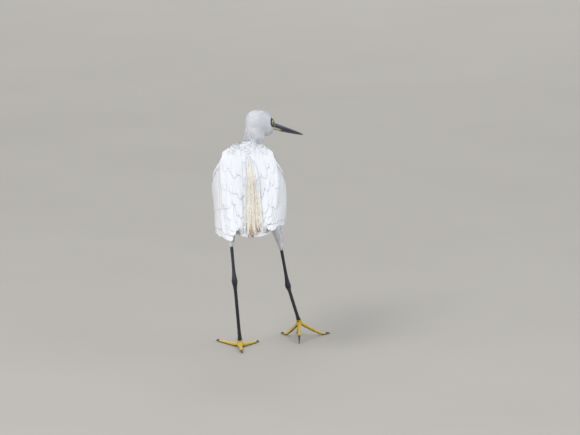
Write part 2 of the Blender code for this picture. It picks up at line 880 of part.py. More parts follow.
def toe_line(tag, toe, start):
    """A toe's path and radii: down from the ball of the foot, then along the floor."""
    turn, length, thick, thin, joints = TOES[toe]
    if tag == "r":
        turn = RIGHT_TOE_TURNS[toe]
    side = 1 if tag == "l" else -1
    yaw = math.radians(turn)
    ahead = np.array([side * math.sin(yaw), -math.cos(yaw), 0.0])
    drop = start[2]
    reach = math.sqrt(max(length**2 - (0.8 * drop) ** 2, 1))
    landed = LEFT_TOES_LAND if tag == "l" else RIGHT_TOES_LAND[toe]
    path, radii = [], []
    for i in range(TOE_POINTS):
        share = i / (TOE_POINTS - 1)
        radius = thick + (thin - thick) * share
        radius *= 1 + 0.09 * math.cos(2 * math.pi * joints * share)
        level = radius - FLAT_DEPTH
        if toe == "hind" and tag == "r":
            height = drop + (9.0 - drop) * share
        else:
            height = level + (drop - level) * max(1 - share / landed, 0.0) ** 1.2
        path.append(np.array([start[0], start[1], 0]) + ahead * reach * share + [0, 0, height])
        radii.append(radius)
    return path, radii


def make_foot(tag, end, shank, where, floor):
    """The ball of the foot with its four toes, cut level with the floor, and the claws."""
    centre = np.array(LEGS[tag]["ball"], float)
    stub = tube("stub", [end + shank * GAP, end + shank * 2.5, centre], [3.8, 4.2, 4.3])
    name = "foot_" + tag
    foot = put(name, ball(name, centre, BALL_RADIUS, rings=7, scale=(1.05, 1.05, 0.95)), where)
    pieces = [stub]
    if tag == "l":
        pieces.append(ball("pad", centre - [0, 0, 2.2], BALL_RADIUS, rings=7, scale=(1.1, 1.1, 1.0)))
    claws = []
    for toe in TOES:
        path, radii = toe_line(tag, toe, centre)
        pieces.append(tube("toe", path, radii))
        along = unit(path[-1] - path[-2])
        flat = unit(np.array([along[0], along[1], 0.0]))
        length = CLAW_LENGTHS[toe]
        start = path[-1] + along * GAP
        line, sizes = [], []
        tip_level = 0.35 if toe == "hind" and tag == "r" else 0.8
        for i in range(6):
            share = i / 5
            size = 1.75 * (1 - share) ** 0.8 + 0.35
            if toe == "hind" and tag == "r":
                place = start + along * length * share * 0.9
                place[2] = start[2] + (tip_level - start[2]) * (0.75 * share + 0.25 * share**2)
                place += flat * 6.0 * share
            else:
                rise = 0.9 * math.sin(math.pi * min(share * 1.3, 1.0))
                place = start + flat * length * share
                place[2] = start[2] + rise + (tip_level - start[2]) * share**1.6
            line.append(place)
            sizes.append(size)
        line[1] = line[0] + along * np.linalg.norm(line[1] - line[0])
        name = "claw_" + toe + "_" + tag
        claws.append(put(name, tube(name, line, sizes, 1), where))
    combine(foot, pieces, "UNION")
    for piece in [foot] + claws:
        combine(piece, [floor()], "DIFFERENCE")
    return foot, claws


def floor_block():
    mesh = bpy.data.meshes.new("floor_cut")
    work = bmesh.new()
    place = Matrix.Translation((0, 0, -0.02)) @ Matrix.Diagonal((0.6, 0.6, 0.04, 1))
    bmesh.ops.create_cube(work, size=1.0, matrix=place)
    work.to_mesh(mesh)
    work.free()
    return mesh


def main():
    for piece in list(bpy.data.objects):
        bpy.data.objects.remove(piece)
    parts = bpy.data.collections.new("little_egret")
    bpy.context.scene.collection.children.link(parts)

    plumage = material("white_plumage", (0.86, 0.87, 0.90), 0.75)
    bill_horn = material("dark_bill", (0.03, 0.04, 0.06), 0.35)
    eye_glass = material("yellow_eye", (0.55, 0.48, 0.12), 0.1)
    leg_skin = material("black_leg", (0.03, 0.03, 0.04), 0.5)
    foot_skin = material("yellow_foot", (0.60, 0.50, 0.08), 0.5)
    claw_horn = material("claw_horn", (0.04, 0.035, 0.03), 0.4)

    torso = put("torso", torso_mesh("torso"), parts)
    combine(torso, plume_meshes(), "UNION")
    tail = make_tail(parts)
    wings = [make_wing("l", parts), make_wing("r", parts)]
    head = make_head(parts)
    bill = make_bill(parts)
    eyes = make_eyes(parts)
    neck = make_neck(parts)
    thighs, shanks, feet, all_claws = [], [], [], []
    for tag in ("l", "r"):
        thigh, tibia, tarsus, end, shank = make_leg(tag, parts)
        foot, claws = make_foot(tag, end, shank, parts, floor_block)
        thighs.append(thigh)
        shanks += [tibia, tarsus]
        feet.append(foot)
        all_claws += claws

    finish = (
        ([torso, tail, head, *wings, *neck, *thighs], plumage),
        (bill, bill_horn),
        (eyes, eye_glass),
        (shanks, leg_skin),
        (feet, foot_skin),
        (all_claws, claw_horn),
    )
    stance = bpy.data.objects.new("stance", None)
    parts.objects.link(stance)
    corners = []
    for pieces, look in finish:
        for piece in pieces:
            piece.data.materials.clear()
            piece.data.materials.append(look)
            piece.data.shade_smooth()
            piece.data.set_sharp_from_angle(angle=math.radians(45))
            piece.parent = stance
            corners += [vertex.co[:] for vertex in piece.data.vertices]
    low, high = np.min(corners, axis=0), np.max(corners, axis=0)
    stance.location = (-(low[0] + high[0]) / 2, -(low[1] + high[1]) / 2, -low[2])


main()
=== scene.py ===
"""The little egret's looks: one skin, its plumage, bill, eyes, legs and claws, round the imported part.

Places are in millimetres in the part's own stance, and every mesh is handed over in metres.
The bird faces -Y with its left side at +X. Body places are s along the back from the
shoulders, n off the back line and an angle round the body from the middle of the back.
"""

import math

import bmesh
import bpy
import numpy as np
from mathutils import Matrix, Vector
from mathutils.bvhtree import BVHTree


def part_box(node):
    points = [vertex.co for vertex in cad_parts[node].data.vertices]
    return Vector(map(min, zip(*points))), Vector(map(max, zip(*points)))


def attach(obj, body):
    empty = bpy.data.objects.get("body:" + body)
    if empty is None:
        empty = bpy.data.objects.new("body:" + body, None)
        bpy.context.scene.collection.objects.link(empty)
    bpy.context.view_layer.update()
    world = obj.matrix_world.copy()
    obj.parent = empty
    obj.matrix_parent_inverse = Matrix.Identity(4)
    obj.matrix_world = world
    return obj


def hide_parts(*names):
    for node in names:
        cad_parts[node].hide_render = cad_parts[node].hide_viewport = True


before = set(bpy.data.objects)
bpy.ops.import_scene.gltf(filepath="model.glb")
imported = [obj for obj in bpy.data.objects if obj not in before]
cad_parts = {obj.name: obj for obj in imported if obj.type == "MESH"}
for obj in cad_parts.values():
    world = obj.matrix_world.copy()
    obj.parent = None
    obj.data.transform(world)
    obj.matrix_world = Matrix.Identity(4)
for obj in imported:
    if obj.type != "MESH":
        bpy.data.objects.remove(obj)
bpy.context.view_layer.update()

MM = 0.001

# The back line and the body round it, with the same sizes as the solids.
SHOULDER_Y = -60.0
SHOULDER_Z = 309.0
BACK_SLOPE = math.radians(30.0)
SPINE_SHIFT = ((-14, 3.3), (30, 3.3), (60, 2.2), (100, 0.0), (240, 0.0))
TORSO_SECTIONS = (
    (-14, 7, -34, -60, -48),
    (-8, 23, -12.5, -76, -47),
    (4, 34, -1.5, -90, -45),
    (25, 42, 1.5, -98, -45),
    (55, 46, 1, -99, -45),
    (85, 46.5, 0, -94, -43),
    (115, 44, -1, -83, -39),
    (145, 35, -4, -64, -32),
    (168, 25, -7, -46, -27),
)
TORSO_SIDES = 64
TORSO_STEP = 3.0
MANTLE_RISE = 5.0
TAIL_SECTIONS = (
    (168.3, 24, -7.5, -44, -26),
    (176, 21.5, -8.5, -34, -21),
    (186, 17, -10.0, -25, -17),
    (197, 13, -12.0, -19, -15),
    (204, 9, -13.5, -17, -15.2),
)

# The folded wing's inner face, and its smooth front part.
WING_SECTIONS = (
    (-6, 29, -6.0),
    (8, 37.5, 1.5),
    (22, 42.2, 2.9),
    (35, 45.1, 3.0),
    (75, 47.7, 2.2),
    (115, 49.0, 1.6),
    (160, 50.0, 0),
    (200, 49.0, -2),
    (240, 43.5, -4),
)
WING_REACH = {"l": 236.0, "r": 210.0}
LONGEST_REACH = 236.0
CORE_ROWS = (
    (0, 1.0),
    (8, 4.2),
    (20, 6.2),
    (38, 6.6),
    (56, 6.6),
    (66, 5.6),
    (78, 4.2),
    (102, 4.2),
    (110, 3.4),
    (120, 1.2),
    (126, 1.0),
)
CORE_COLUMNS = (
    (0.0, 0.0),
    (0.07, 0.7),
    (0.16, 1.0),
    (0.37, 1.0),
    (0.6, 1.0),
    (0.82, 1.0),
    (0.93, 0.7),
    (1.0, 0.0),
)
CORE_EDGE = 1.0

# Head, in its own axes: forward, left and up from its middle.
HEAD_PLACE = (-15.0, -92.0, 330.0)
HEAD_YAW = math.radians(38.0)
HEAD_PITCH = math.radians(17.0)
EYE_FORWARD = 13.0
EYE_UP = 2.6
EYE_OUT = 9.0
EYE_RADIUS = 6.0

NECK_LINE = (
    (0, -70, 258, 31, 28),
    (0, -94, 249, 26, 24),
    (-1, -113, 251, 21, 20.5),
    (-1, -125, 263, 17.5, 17.5),
    (-2, -123, 279, 15.5, 16),
    (-3, -109, 291, 15, 15),
    (-5, -96, 301, 15.5, 15.5),
    (-6, -86, 312, 15.5, 16),
    (-5, -79, 328, 13.5, 14.5),
)
LEGS = {
    "l": {"knee": (33, -30, 209), "ankle": (23, 20, 105), "ball": (15, 0, 6.4)},
    "r": {"knee": (-36, -29, 207), "ankle": (-57, 3, 94.6), "ball": (-74, -70, 25.3)},
}
FEATHERS_END = 0.55


def spline(knots, values):
    """A smooth curve through the values at the knots, with slopes from the neighbours."""
    knots = np.asarray(knots, float)
    values = np.asarray(values, float)
    widths = np.diff(knots)[:, None]
    rises = np.diff(values, axis=0) / widths
    slopes = np.vstack([rises[:1], rises[:1], rises[1:]])[: len(values)]
    slopes[1:-1] = (rises[:-1] * widths[1:] + rises[1:] * widths[:-1]) / (widths[:-1] + widths[1:])
    slopes[-1] = rises[-1]

    def at(x):
        x = np.asarray(x, float)
        i = np.clip(np.searchsorted(knots, x) - 1, 0, len(widths) - 1)
        width = widths[i, 0][..., None]
        t = (x - knots[i])[..., None] / width
        return (
            (2 * t**3 - 3 * t**2 + 1) * values[i]
            + (t**3 - 2 * t**2 + t) * width * slopes[i]
            + (3 * t**2 - 2 * t**3) * values[i + 1]
            + (t**3 - t**2) * width * slopes[i + 1]
        )

    return at


def sections(rows):
    return spline([row[0] for row in rows], [row[1:] for row in rows])


torso_at = sections(TORSO_SECTIONS)
tail_at = sections(TAIL_SECTIONS)
spine_at = sections(SPINE_SHIFT)
wing_at = sections(WING_SECTIONS)
core_at = sections(CORE_ROWS)


def ease(low, high, x):
    t = np.clip((np.asarray(x, float) - low) / (high - low), 0.0, 1.0)
    return t * t * (3 - 2 * t)


def unit(vectors):
    vectors = np.asarray(vectors, float)
    return vectors / np.maximum(np.linalg.norm(vectors, axis=-1, keepdims=True), 1e-9)


def head_axes():
    """The head's forward, left and up directions, as rows."""
    flat = np.array([-math.sin(HEAD_YAW), -math.cos(HEAD_YAW), 0.0])
    up = np.array([0.0, 0.0, 1.0])
    forward = math.cos(HEAD_PITCH) * flat - math.sin(HEAD_PITCH) * up
    over = math.sin(HEAD_PITCH) * flat + math.cos(HEAD_PITCH) * up
    return np.array([forward, np.cross(over, forward), over])


HEAD_AXES = head_axes()


def node_middle(name):
    low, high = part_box(name)
    return (np.array(low) + np.array(high)) / 2 / MM


def stance_shift():
    """How far the part's stance was moved so that its box stands over the origin."""
    eye = np.array(HEAD_PLACE) + HEAD_AXES.T @ np.array([EYE_FORWARD, EYE_OUT, EYE_UP])
    return node_middle("eye_l") - eye


SHIFT = stance_shift()


def head_point(x, y, z):
    """The place at x forward, y left and z up from the head's middle."""
    local = np.stack(np.broadcast_arrays(x, y, z), axis=-1).astype(float)
    return SHIFT + np.array(HEAD_PLACE) + local @ HEAD_AXES


def head_local(points):
    """Places given in the head's own axes."""
    return (points - SHIFT - np.array(HEAD_PLACE)) @ HEAD_AXES.T


def body_point(s, x, n):
    """The place at s along the back, x to the left of the spine and n off the back line."""
    s, x, n = (np.asarray(value, float) for value in np.broadcast_arrays(s, x, n))
    y = SHOULDER_Y + s * math.cos(BACK_SLOPE) + n * math.sin(BACK_SLOPE)
    z = SHOULDER_Z - s * math.sin(BACK_SLOPE) + n * math.cos(BACK_SLOPE)
    return np.stack([x + spine_at(s)[..., 0], y, z], axis=-1) + SHIFT


def body_local(points):
    """The distance along the back, left of the spine and off the back line of some places."""
    y = points[..., 1] - SHIFT[1] - SHOULDER_Y
    z = points[..., 2] - SHIFT[2] - SHOULDER_Z
    s = y * math.cos(BACK_SLOPE) - z * math.sin(BACK_SLOPE)
    n = y * math.sin(BACK_SLOPE) + z * math.cos(BACK_SLOPE)
    x = points[..., 0] - SHIFT[0] - spine_at(s)[..., 0]
    return s, x, n


UPWARD = np.array([0.0, math.sin(BACK_SLOPE), math.cos(BACK_SLOPE)])


def mantle(s, angle):
    """How far the back feathers fill the groove between the two folded wings."""
    turned = np.abs((np.degrees(angle) + 180) % 360 - 180)
    along = ease(-10, 20, s) * (1 - ease(115, 160, s))
    return MANTLE_RISE * (1 - ease(14, 24, turned)) * along


def torso_level(s):
    """The widest level of the body at s, carried on behind the torso's end."""
    end = TORSO_SECTIONS[-1][0]
    return torso_at(np.minimum(s, end))[..., 3] + 0.18 * np.maximum(np.asarray(s) - end, 0)


def wing_point(side, s, angle, rise):
    """A place on the folded wing, at rise over its inner face. Side is 1 on the left."""
    across = wing_at(s)
    half_width, back = across[..., 0], across[..., 1]
    middle = torso_level(s)
    x = side * (half_width + rise) * np.sin(angle)
    return body_point(s, x, middle + (back - middle + rise) * np.cos(angle))


def wing_edges(s):
    """The inner and outer edge, as angles, of the wing's smooth front part."""
    share = (np.asarray(s, float) - CORE_ROWS[0][0]) / (CORE_ROWS[-1][0] - CORE_ROWS[0][0])
    inner = 30 - 8 * ease(0.0, 0.5, share) + 6 * ease(0.7, 1.0, share)
    outer = 97 + 7 * ease(0.05, 0.5, share) - 6 * ease(0.7, 1.0, share)
    return np.radians(inner), np.radians(outer)


def leg_points(tag):
    return {name: np.array(place, float) + SHIFT for name, place in LEGS[tag].items()}


# Meshes


def new_mesh(name, points, faces, sizes, smooth=True):
    """A mesh from points in millimetres and a flat list of corners, with each face's size."""
    mesh = bpy.data.meshes.new(name)
    points = np.asarray(points, np.float32).reshape(-1, 3) * MM
    mesh.vertices.add(len(points))
    mesh.vertices.foreach_set("co", points.ravel())
    mesh.loops.add(len(faces))
    mesh.loops.foreach_set("vertex_index", np.asarray(faces, np.int32))
    mesh.polygons.add(len(sizes))
    starts = np.concatenate([[0], np.cumsum(sizes)[:-1]]).astype(np.int32)
    mesh.polygons.foreach_set("loop_start", starts)
    mesh.polygons.foreach_set("use_smooth", np.full(len(sizes), smooth))
    mesh.update(calc_edges=True)
    mesh.validate()
    return mesh


def new_piece(name, mesh, look=None):
    piece = bpy.data.objects.new(name, mesh)
    bpy.context.scene.collection.objects.link(piece)
    if look is not None:
        mesh.materials.clear()
        mesh.materials.append(look)
    return piece


def loft_mesh(name, rings):
    """A closed skin over rings of equally many points, with its ends closed by fans."""
    rings = np.asarray(rings, float)
    rows, sides = rings.shape[:2]
    points = np.vstack([rings.reshape(-1, 3), rings[0].mean(0), rings[-1].mean(0)])
    i = np.arange(rows - 1)[:, None] * sides
    j = np.arange(sides)[None, :]
    k = (j + 1) % sides
    quads = np.stack([i + j, i + k, i + sides + k, i + sides + j], axis=-1).reshape(-1, 4)
    j, k = j[0], k[0]
    last = (rows - 1) * sides
    start = np.stack([k, j, np.full(sides, rows * sides)], axis=-1)
    end = np.stack([last + j, last + k, np.full(sides, rows * sides + 1)], axis=-1)
    faces = np.concatenate([quads.ravel(), start.ravel(), end.ravel()])
    sizes = np.concatenate([np.full(len(quads), 4), np.full(2 * sides, 3)])
    mesh = new_mesh(name, points, faces, sizes)
    turn_outwards(mesh)
    return mesh


def turn_outwards(mesh):
    work = bmesh.new()
    work.from_mesh(mesh)
    bmesh.ops.recalc_face_normals(work, faces=work.faces)
    work.to_mesh(mesh)
    work.free()


def points_of(mesh):
    points = np.empty(len(mesh.vertices) * 3, np.float32)
    mesh.vertices.foreach_get("co", points)
    return points.reshape(-1, 3).astype(float) / MM


def set_points(mesh, points):
    mesh.vertices.foreach_set("co", (np.asarray(points) * MM).astype(np.float32).ravel())
    mesh.update()


def normals_of(mesh):
    normals = np.empty(len(mesh.vertices) * 3, np.float32)
    mesh.vertex_normals.foreach_get("vector", normals)
    return normals.reshape(-1, 3).astype(float)


def smoothed(mesh, weights, rounds):
    """The mesh's points, each drawn towards its neighbours by its weight, several times."""
    edges = np.empty(len(mesh.edges) * 2, np.int32)
    mesh.edges.foreach_get("vertices", edges)
    a, b = edges.reshape(-1, 2).T
    points = points_of(mesh)
    count = np.maximum(np.bincount(a, minlength=len(points)) + np.bincount(b, minlength=len(points)), 1)
    for _ in range(rounds):
        for axis in range(3):
            line = points[:, axis]
            total = np.bincount(a, line[b], len(points)) + np.bincount(b, line[a], len(points))
            points[:, axis] = line + weights * (total / count - line)
    return points


def remeshed(name, meshes, voxel):
    """Several closed meshes fused into one skin of even small faces."""
    work = bmesh.new()
    for mesh in meshes:
        work.from_mesh(mesh)
    joined = bpy.data.meshes.new(name)
    work.to_mesh(joined)
    work.free()
    piece = new_piece(name, joined)
    fuse = piece.modifiers.new("fuse", "REMESH")
    fuse.mode = "VOXEL"
    fuse.voxel_size = voxel * MM
    graph = bpy.context.evaluated_depsgraph_get()
    made = bpy.data.meshes.new_from_object(piece.evaluated_get(graph))
    bpy.data.objects.remove(piece)
    made.name = name
    made.polygons.foreach_set("use_smooth", np.full(len(made.polygons), True))
    return made


# Regions of the body, each a line down its middle with a radius, for the lie of the coat


def region_lines():
    """For each region the points down its middle, from which the feathers point, and radii."""
    torso_s = np.array([0.0, 40.0, 80.0, 120.0, 160.0, 200.0])
    levels = torso_level(torso_s)
    radii = np.array([30.0, 44.0, 46.0, 42.0, 28.0, 12.0])
    lines = {"torso": (body_point(torso_s, 0.0, levels), radii)}
    neck = np.array(NECK_LINE, float)[::-1]
    lines["neck"] = (neck[:, :3] + SHIFT, neck[:, 3])
    lines["head"] = (head_point(np.array([30.0, 10.0, -12.0, -30.0]), 0.0, -2.0),
                     np.array([11.0, 16.5, 17.0, 8.0]))
    for tag in ("l", "r"):
        leg = leg_points(tag)
        shares = np.array([0.12, 0.3, 0.42, FEATHERS_END])[:, None]
        lines["thigh_" + tag] = (leg["knee"] * (1 - shares) + leg["ankle"] * shares,
                                 np.array([13.0, 9.5, 7.0, 4.0]))
    return lines


REGION_LINES = region_lines()


def near_line(points, line, radii):
    """Each point's distance to a line in radii, and the line's direction there."""
    starts, ends = line[:-1], line[1:]
    along = ends - starts
    length2 = (along**2).sum(1)
    offset = points[:, None, :] - starts[None]
    t = np.clip((offset * along[None]).sum(2) / length2, 0, 1)
    nearest = starts[None] + t[..., None] * along[None]
    gap = np.linalg.norm(points[:, None, :] - nearest, axis=2)
    radius = radii[:-1] * (1 - t) + radii[1:] * t
    pick = (gap / radius).argmin(1)
    rows = np.arange(len(points))
    directions = unit(along)
    share = t[rows, pick]
    ahead = np.minimum(pick + 1, len(directions) - 1)
    blend = directions[pick] * (1 - share)[:, None] + directions[ahead] * share[:, None]
    return gap[rows, pick] / radius[rows, pick], unit(blend)


def region_weights(points):
    """The share of each region at each point, and the lie of the feathers there."""
    shares, flows = {}, {}
    for name, (line, radii) in REGION_LINES.items():
        gap, flow = near_line(points, line, radii)
        shares[name] = 1 / np.maximum(gap, 0.2) ** 9
        flows[name] = flow
    s, x, _ = body_local(points)
    total = sum(shares.values())
    lie = sum(shares[name][:, None] * flows[name] for name in shares)
    spread = np.array([1.0, 0, 0]) * (0.0012 * x * ease(20, 120, s))[:, None]
    lie = unit(lie - spread * (shares["torso"] / total)[:, None])
    return {name: share / total for name, share in shares.items()}, lie


def torso_skin_mesh():
    """The smooth body from the shoulders to the root of the tail."""
    first, last = TORSO_SECTIONS[0][0], TORSO_SECTIONS[-1][0]
    angles = np.arange(TORSO_SIDES) * 2 * math.pi / TORSO_SIDES
    rings = []
    for s in np.arange(first, last + 0.1, TORSO_STEP):
        half_width, back, belly, middle = torso_at(s)
        out = mantle(s, angles)
        height = np.where(np.cos(angles) > 0, back - middle, middle - belly)
        x = (half_width + out) * np.sin(angles)
        rings.append(body_point(s, x, middle + (height + out) * np.cos(angles)))
    for s in np.arange(TAIL_SECTIONS[0][0] + 2, TAIL_SECTIONS[-1][0], TORSO_STEP):
        half_width, back, belly, middle = tail_at(s)
        height = np.where(np.cos(angles) > 0, back - middle, middle - belly)
        x = half_width * np.sin(angles)
        rings.append(body_point(s, x, middle + height * np.cos(angles)))
    return loft_mesh("torso_skin", rings)


def wing_core_mesh(side):
    """The wing's smooth front part, thick over the shoulder and thin at its edges."""
    rows = np.linspace(CORE_ROWS[0][0], CORE_ROWS[-1][0], 48)
    columns = np.linspace(0.0, 1.0, 30)
    crown_at = sections(CORE_COLUMNS)
    crowns = np.clip(crown_at(columns)[:, 0], 0, 1)
    rings = []
    for s in rows:
        inner, outer = wing_edges(s)
        angles = inner + (outer - inner) * columns
        tops = CORE_EDGE + (core_at(s)[0] - CORE_EDGE) * crowns
        low = wing_point(side, s, angles, -1.5)
        high = wing_point(side, s, angles, tops)
        rings.append(np.vstack([low, high[::-1]]))
    return loft_mesh("wing_core", rings)


SKIN_VOXEL = 1.3
NECK_FILL = np.array([0.0, 14.0, 4.0])
SKIN_NODES = ("neck_lower", "neck_upper", "head", "thigh_l", "thigh_r")
BODY_COAT, NECK_COAT, HEAD_COAT, THIGH_COAT = 2.0, 1.5, 1.0, 1.2


def bridge_mesh(first, last, radius):
    """A short rod that carries the skin over the thin gap between two nodes."""
    mesh = bpy.data.meshes.new("bridge")
    work = bmesh.new()
    bmesh.ops.create_uvsphere(work, u_segments=24, v_segments=16, radius=1.0)
    middle, half = (first + last) / 2, np.linalg.norm(last - first) / 2
    turn = Vector(last - first).to_track_quat("Z", "Y").to_matrix().to_4x4()
    size = Matrix.Diagonal((radius * MM, radius * MM, half * MM, 1))
    work.transform(Matrix.Translation(Vector(middle) * MM) @ turn @ size)
    work.to_mesh(mesh)
    work.free()
    return mesh


def bare_face(points):
    """1 on the bare skin between the bill and the eye, falling to 0 where feathers start."""
    x, y, z = head_local(points).T
    upper = 4.6 - 0.12 * (x - 18)
    lower = -3.4 + 0.10 * (x - 18)
    inside = ease(16.5, 19.0, x) * ease(0, 1.2, upper - z) * ease(0, 1.2, z - lower)
    round_eye = np.hypot(x - EYE_FORWARD, (z - EYE_UP) * 1.05)
    ring = 1 - ease(5.6, 6.6, round_eye)
    return np.maximum(inside, ring) * (np.abs(y) > 3.2)


def coat_depth(points, shares):
    depth = BODY_COAT * shares["torso"] + NECK_COAT * shares["neck"]
    depth = depth + HEAD_COAT * shares["head"]
    depth = depth + THIGH_COAT * (shares["thigh_l"] + shares["thigh_r"])
    return depth * (1 - bare_face(points))


def make_skin(look):
    """One skin over the nodes of flesh, inside them by the depth of the coat."""
    meshes = [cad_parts[name].data for name in SKIN_NODES]
    meshes += [torso_skin_mesh(), wing_core_mesh(1), wing_core_mesh(-1)]
    neck = np.array(NECK_LINE, float)[:, :3] + SHIFT
    meshes.append(bridge_mesh(neck[3], neck[5], 13.0))
    meshes.append(bridge_mesh(neck[7], head_point(-8.0, 0.0, -4.0), 11.0))
    meshes.append(bridge_mesh(neck[2] + NECK_FILL, neck[5] + NECK_FILL, 9.0))
    mesh = remeshed("skin_body", meshes, SKIN_VOXEL)
    face = head_local(points_of(mesh))
    on_face = ease(-2, 6, face[:, 0]) * (1 - ease(20, 24, np.linalg.norm(face[:, 1:], axis=1)))
    points = smoothed(mesh, 0.5 * (1 - 0.9 * on_face), 14)
    set_points(mesh, points)
    shares, _ = region_weights(points)
    set_points(mesh, points - normals_of(mesh) * coat_depth(points, shares)[:, None])
    skin = new_piece("skin_body", mesh, look)
    return skin


# Materials


class Look:
    """A material, its shader, and short ways to put nodes before it."""

    def __init__(self, name, **sockets):
        self.material = bpy.data.materials.new(name)
        self.material.use_nodes = True
        self.tree = self.material.node_tree
        self.shader = next(node for node in self.tree.nodes if node.type == "BSDF_PRINCIPLED")
        for socket, value in sockets.items():
            self.put(self.shader.inputs[socket.replace("_", " ")], value)

    def put(self, socket, value):
        if isinstance(value, bpy.types.NodeSocket):
            self.tree.links.new(value, socket)
        else:
            socket.default_value = value

    def node(self, kind, settings=None, **values):
        made = self.tree.nodes.new(kind)
        for key, value in (settings or {}).items():
            setattr(made, key, value)
        for key, value in values.items():
            self.put(made.inputs[key.replace("_", " ")], value)
        return made

    def math(self, operation, *values):
        made = self.tree.nodes.new("ShaderNodeMath")
        made.operation = operation
        for socket, value in zip(made.inputs, values):
            self.put(socket, value)
        return made.outputs[0]

    def mix(self, share, first, second):
        made = self.tree.nodes.new("ShaderNodeMix")
        made.data_type = "RGBA"
        for place, value in ((0, share), (6, first), (7, second)):
            self.put(made.inputs[place], value)
        return made.outputs[2]

    def between(self, value, low, high):
        """0 below low and 1 above high, smooth between them."""
        made = self.node("ShaderNodeMapRange", {"interpolation_type": "SMOOTHSTEP"}, Value=value,
                         From_Min=low, From_Max=high)
        return made.outputs[0]

    def noise(self, scale, detail=2.0, vector=None, distortion=0.0):
        made = self.node("ShaderNodeTexNoise", None, Scale=scale, Detail=detail,
                         Distortion=distortion)
        self.put(made.inputs["Vector"], self.place() if vector is None else vector)
        return made.outputs[0]

    def place(self):
        """Places on the part, in metres."""
        return self.node("ShaderNodeTexCoord").outputs["Object"]

    def uv(self, name):
        """The two values of a map, as sockets."""
        made = self.tree.nodes.new("ShaderNodeUVMap")
        made.uv_map = name
        split = self.node("ShaderNodeSeparateXYZ", None, Vector=made.outputs[0])
        return split.outputs[0], split.outputs[1]

    def along(self, direction, origin):
        """How far places lie along a direction from an origin in millimetres, in millimetres."""
        made = self.tree.nodes.new("ShaderNodeVectorMath")
        made.operation = "DOT_PRODUCT"
        self.put(made.inputs[0], self.place())
        made.inputs[1].default_value = [float(value) for value in direction]
        offset = float(np.dot(direction, origin))
        return self.math("SUBTRACT", self.math("MULTIPLY", made.outputs["Value"], 1 / MM), offset)

    def head(self):
        """Places in the head's own axes, in millimetres, as three sockets."""
        origin = SHIFT + np.array(HEAD_PLACE)
        return [self.along(axis, origin) for axis in HEAD_AXES]

    def colour(self, socket):
        self.put(self.shader.inputs["Base Color"], socket)

    def bump(self, height, strength, distance):
        made = self.node("ShaderNodeBump", None, Strength=strength, Distance=distance * MM,
                         Height=height)
        self.put(self.shader.inputs["Normal"], made.outputs[0])


def rgb(red, green, blue):
    return (red, green, blue, 1.0)


WHITE = rgb(0.86, 0.875, 0.905)
COOL_WHITE = rgb(0.78, 0.80, 0.845)
CREAM = rgb(0.83, 0.79, 0.69)
TAN = rgb(0.62, 0.45, 0.31)
BARE_DARK = rgb(0.022, 0.026, 0.034)
BARE_GREEN = rgb(0.085, 0.125, 0.105)


def plumage_look(name, surface):
    """White plumage, cream to tan where the maps say so, on vanes, on tufts or as the down."""
    look = Look(name, Roughness=0.72, Sheen_Weight=0.25, Sheen_Roughness=0.5, IOR=1.4)
    look.put(look.shader.inputs["Specular IOR Level"], 0.25)
    chance, tint = look.uv("tone")
    shade = look.noise(60.0, 3.0)
    white = look.mix(look.math("MULTIPLY", shade, 0.5), WHITE, COOL_WHITE)
    white = look.mix(look.math("MULTIPLY", chance, 0.35), white, COOL_WHITE)
    stain = look.mix(look.between(tint, 0.5, 1.0), CREAM, TAN)
    white = look.mix(look.between(tint, 0.0, 0.6), white, stain)
    if surface == "down":
        x, _, z = look.head()
        dx, dz = look.math("SUBTRACT", x, EYE_FORWARD), look.math("SUBTRACT", z, EYE_UP)
        from_eye = look.math("SQRT", look.math("ADD", look.math("MULTIPLY", dx, dx),
                                               look.math("MULTIPLY", dz, dz)))
        lores = look.math("MULTIPLY", look.between(x, 15.5, 16.5), look.math("SUBTRACT", 1.0,
                                                                             look.between(x, 32.0, 33.0)))
        lores = look.math("MULTIPLY", lores, look.between(z, -4.6, -4.0))
        lores = look.math("MULTIPLY", lores, look.math("SUBTRACT", 1.0, look.between(z, 4.4, 5.0)))
        white = look.mix(lores, white, BARE_GREEN)
        white = look.mix(look.between(from_eye, 6.6, 7.0), BARE_DARK, white)
    look.colour(white)
    if surface == "vanes":
        across, along = look.uv("vane")
        slant = look.math("ABSOLUTE", look.math("SUBTRACT", across, 0.5))
        phase = look.math("SUBTRACT", look.math("MULTIPLY", along, 9.0),
                          look.math("MULTIPLY", slant, 60.0))
        wave = look.math("SINE", phase)
        rough = look.noise(900.0, 2.0)
        look.bump(look.math("ADD", wave, look.math("MULTIPLY", rough, 1.5)), 0.35, 0.12)
    elif surface == "down":
        look.bump(look.noise(700.0, 3.0), 0.6, 0.5)
    else:
        look.bump(look.noise(1600.0, 2.0), 0.3, 0.12)
    return look.material


# Feathers: thin closed sheets from rows and columns of points


def sheet_corners(rows, columns):
    """The four corners of each face of a thin sheet: its upper side, lower side and rim."""
    i = np.arange(rows * columns).reshape(rows, columns)
    upper = np.stack([i[:-1, :-1], i[:-1, 1:], i[1:, 1:], i[1:, :-1]], axis=-1).reshape(-1, 4)
    lower = upper[:, ::-1] + rows * columns
    rim = np.concatenate([i[0, :], i[1:, -1], i[-1, -2::-1], i[-2:0:-1, 0]])
    ahead = np.roll(rim, -1)
    sides = np.stack([ahead, rim, rim + rows * columns, ahead + rows * columns], axis=-1)
    return np.concatenate([upper, lower, sides])


def set_map(mesh, name, values):
    """A UV map with one pair of values for each point."""
    corners = np.empty(len(mesh.loops), np.int32)
    mesh.loops.foreach_get("vertex_index", corners)
    layer = mesh.uv_layers.new(name=name)
    layer.data.foreach_set("uv", np.asarray(values, np.float32)[corners].ravel())


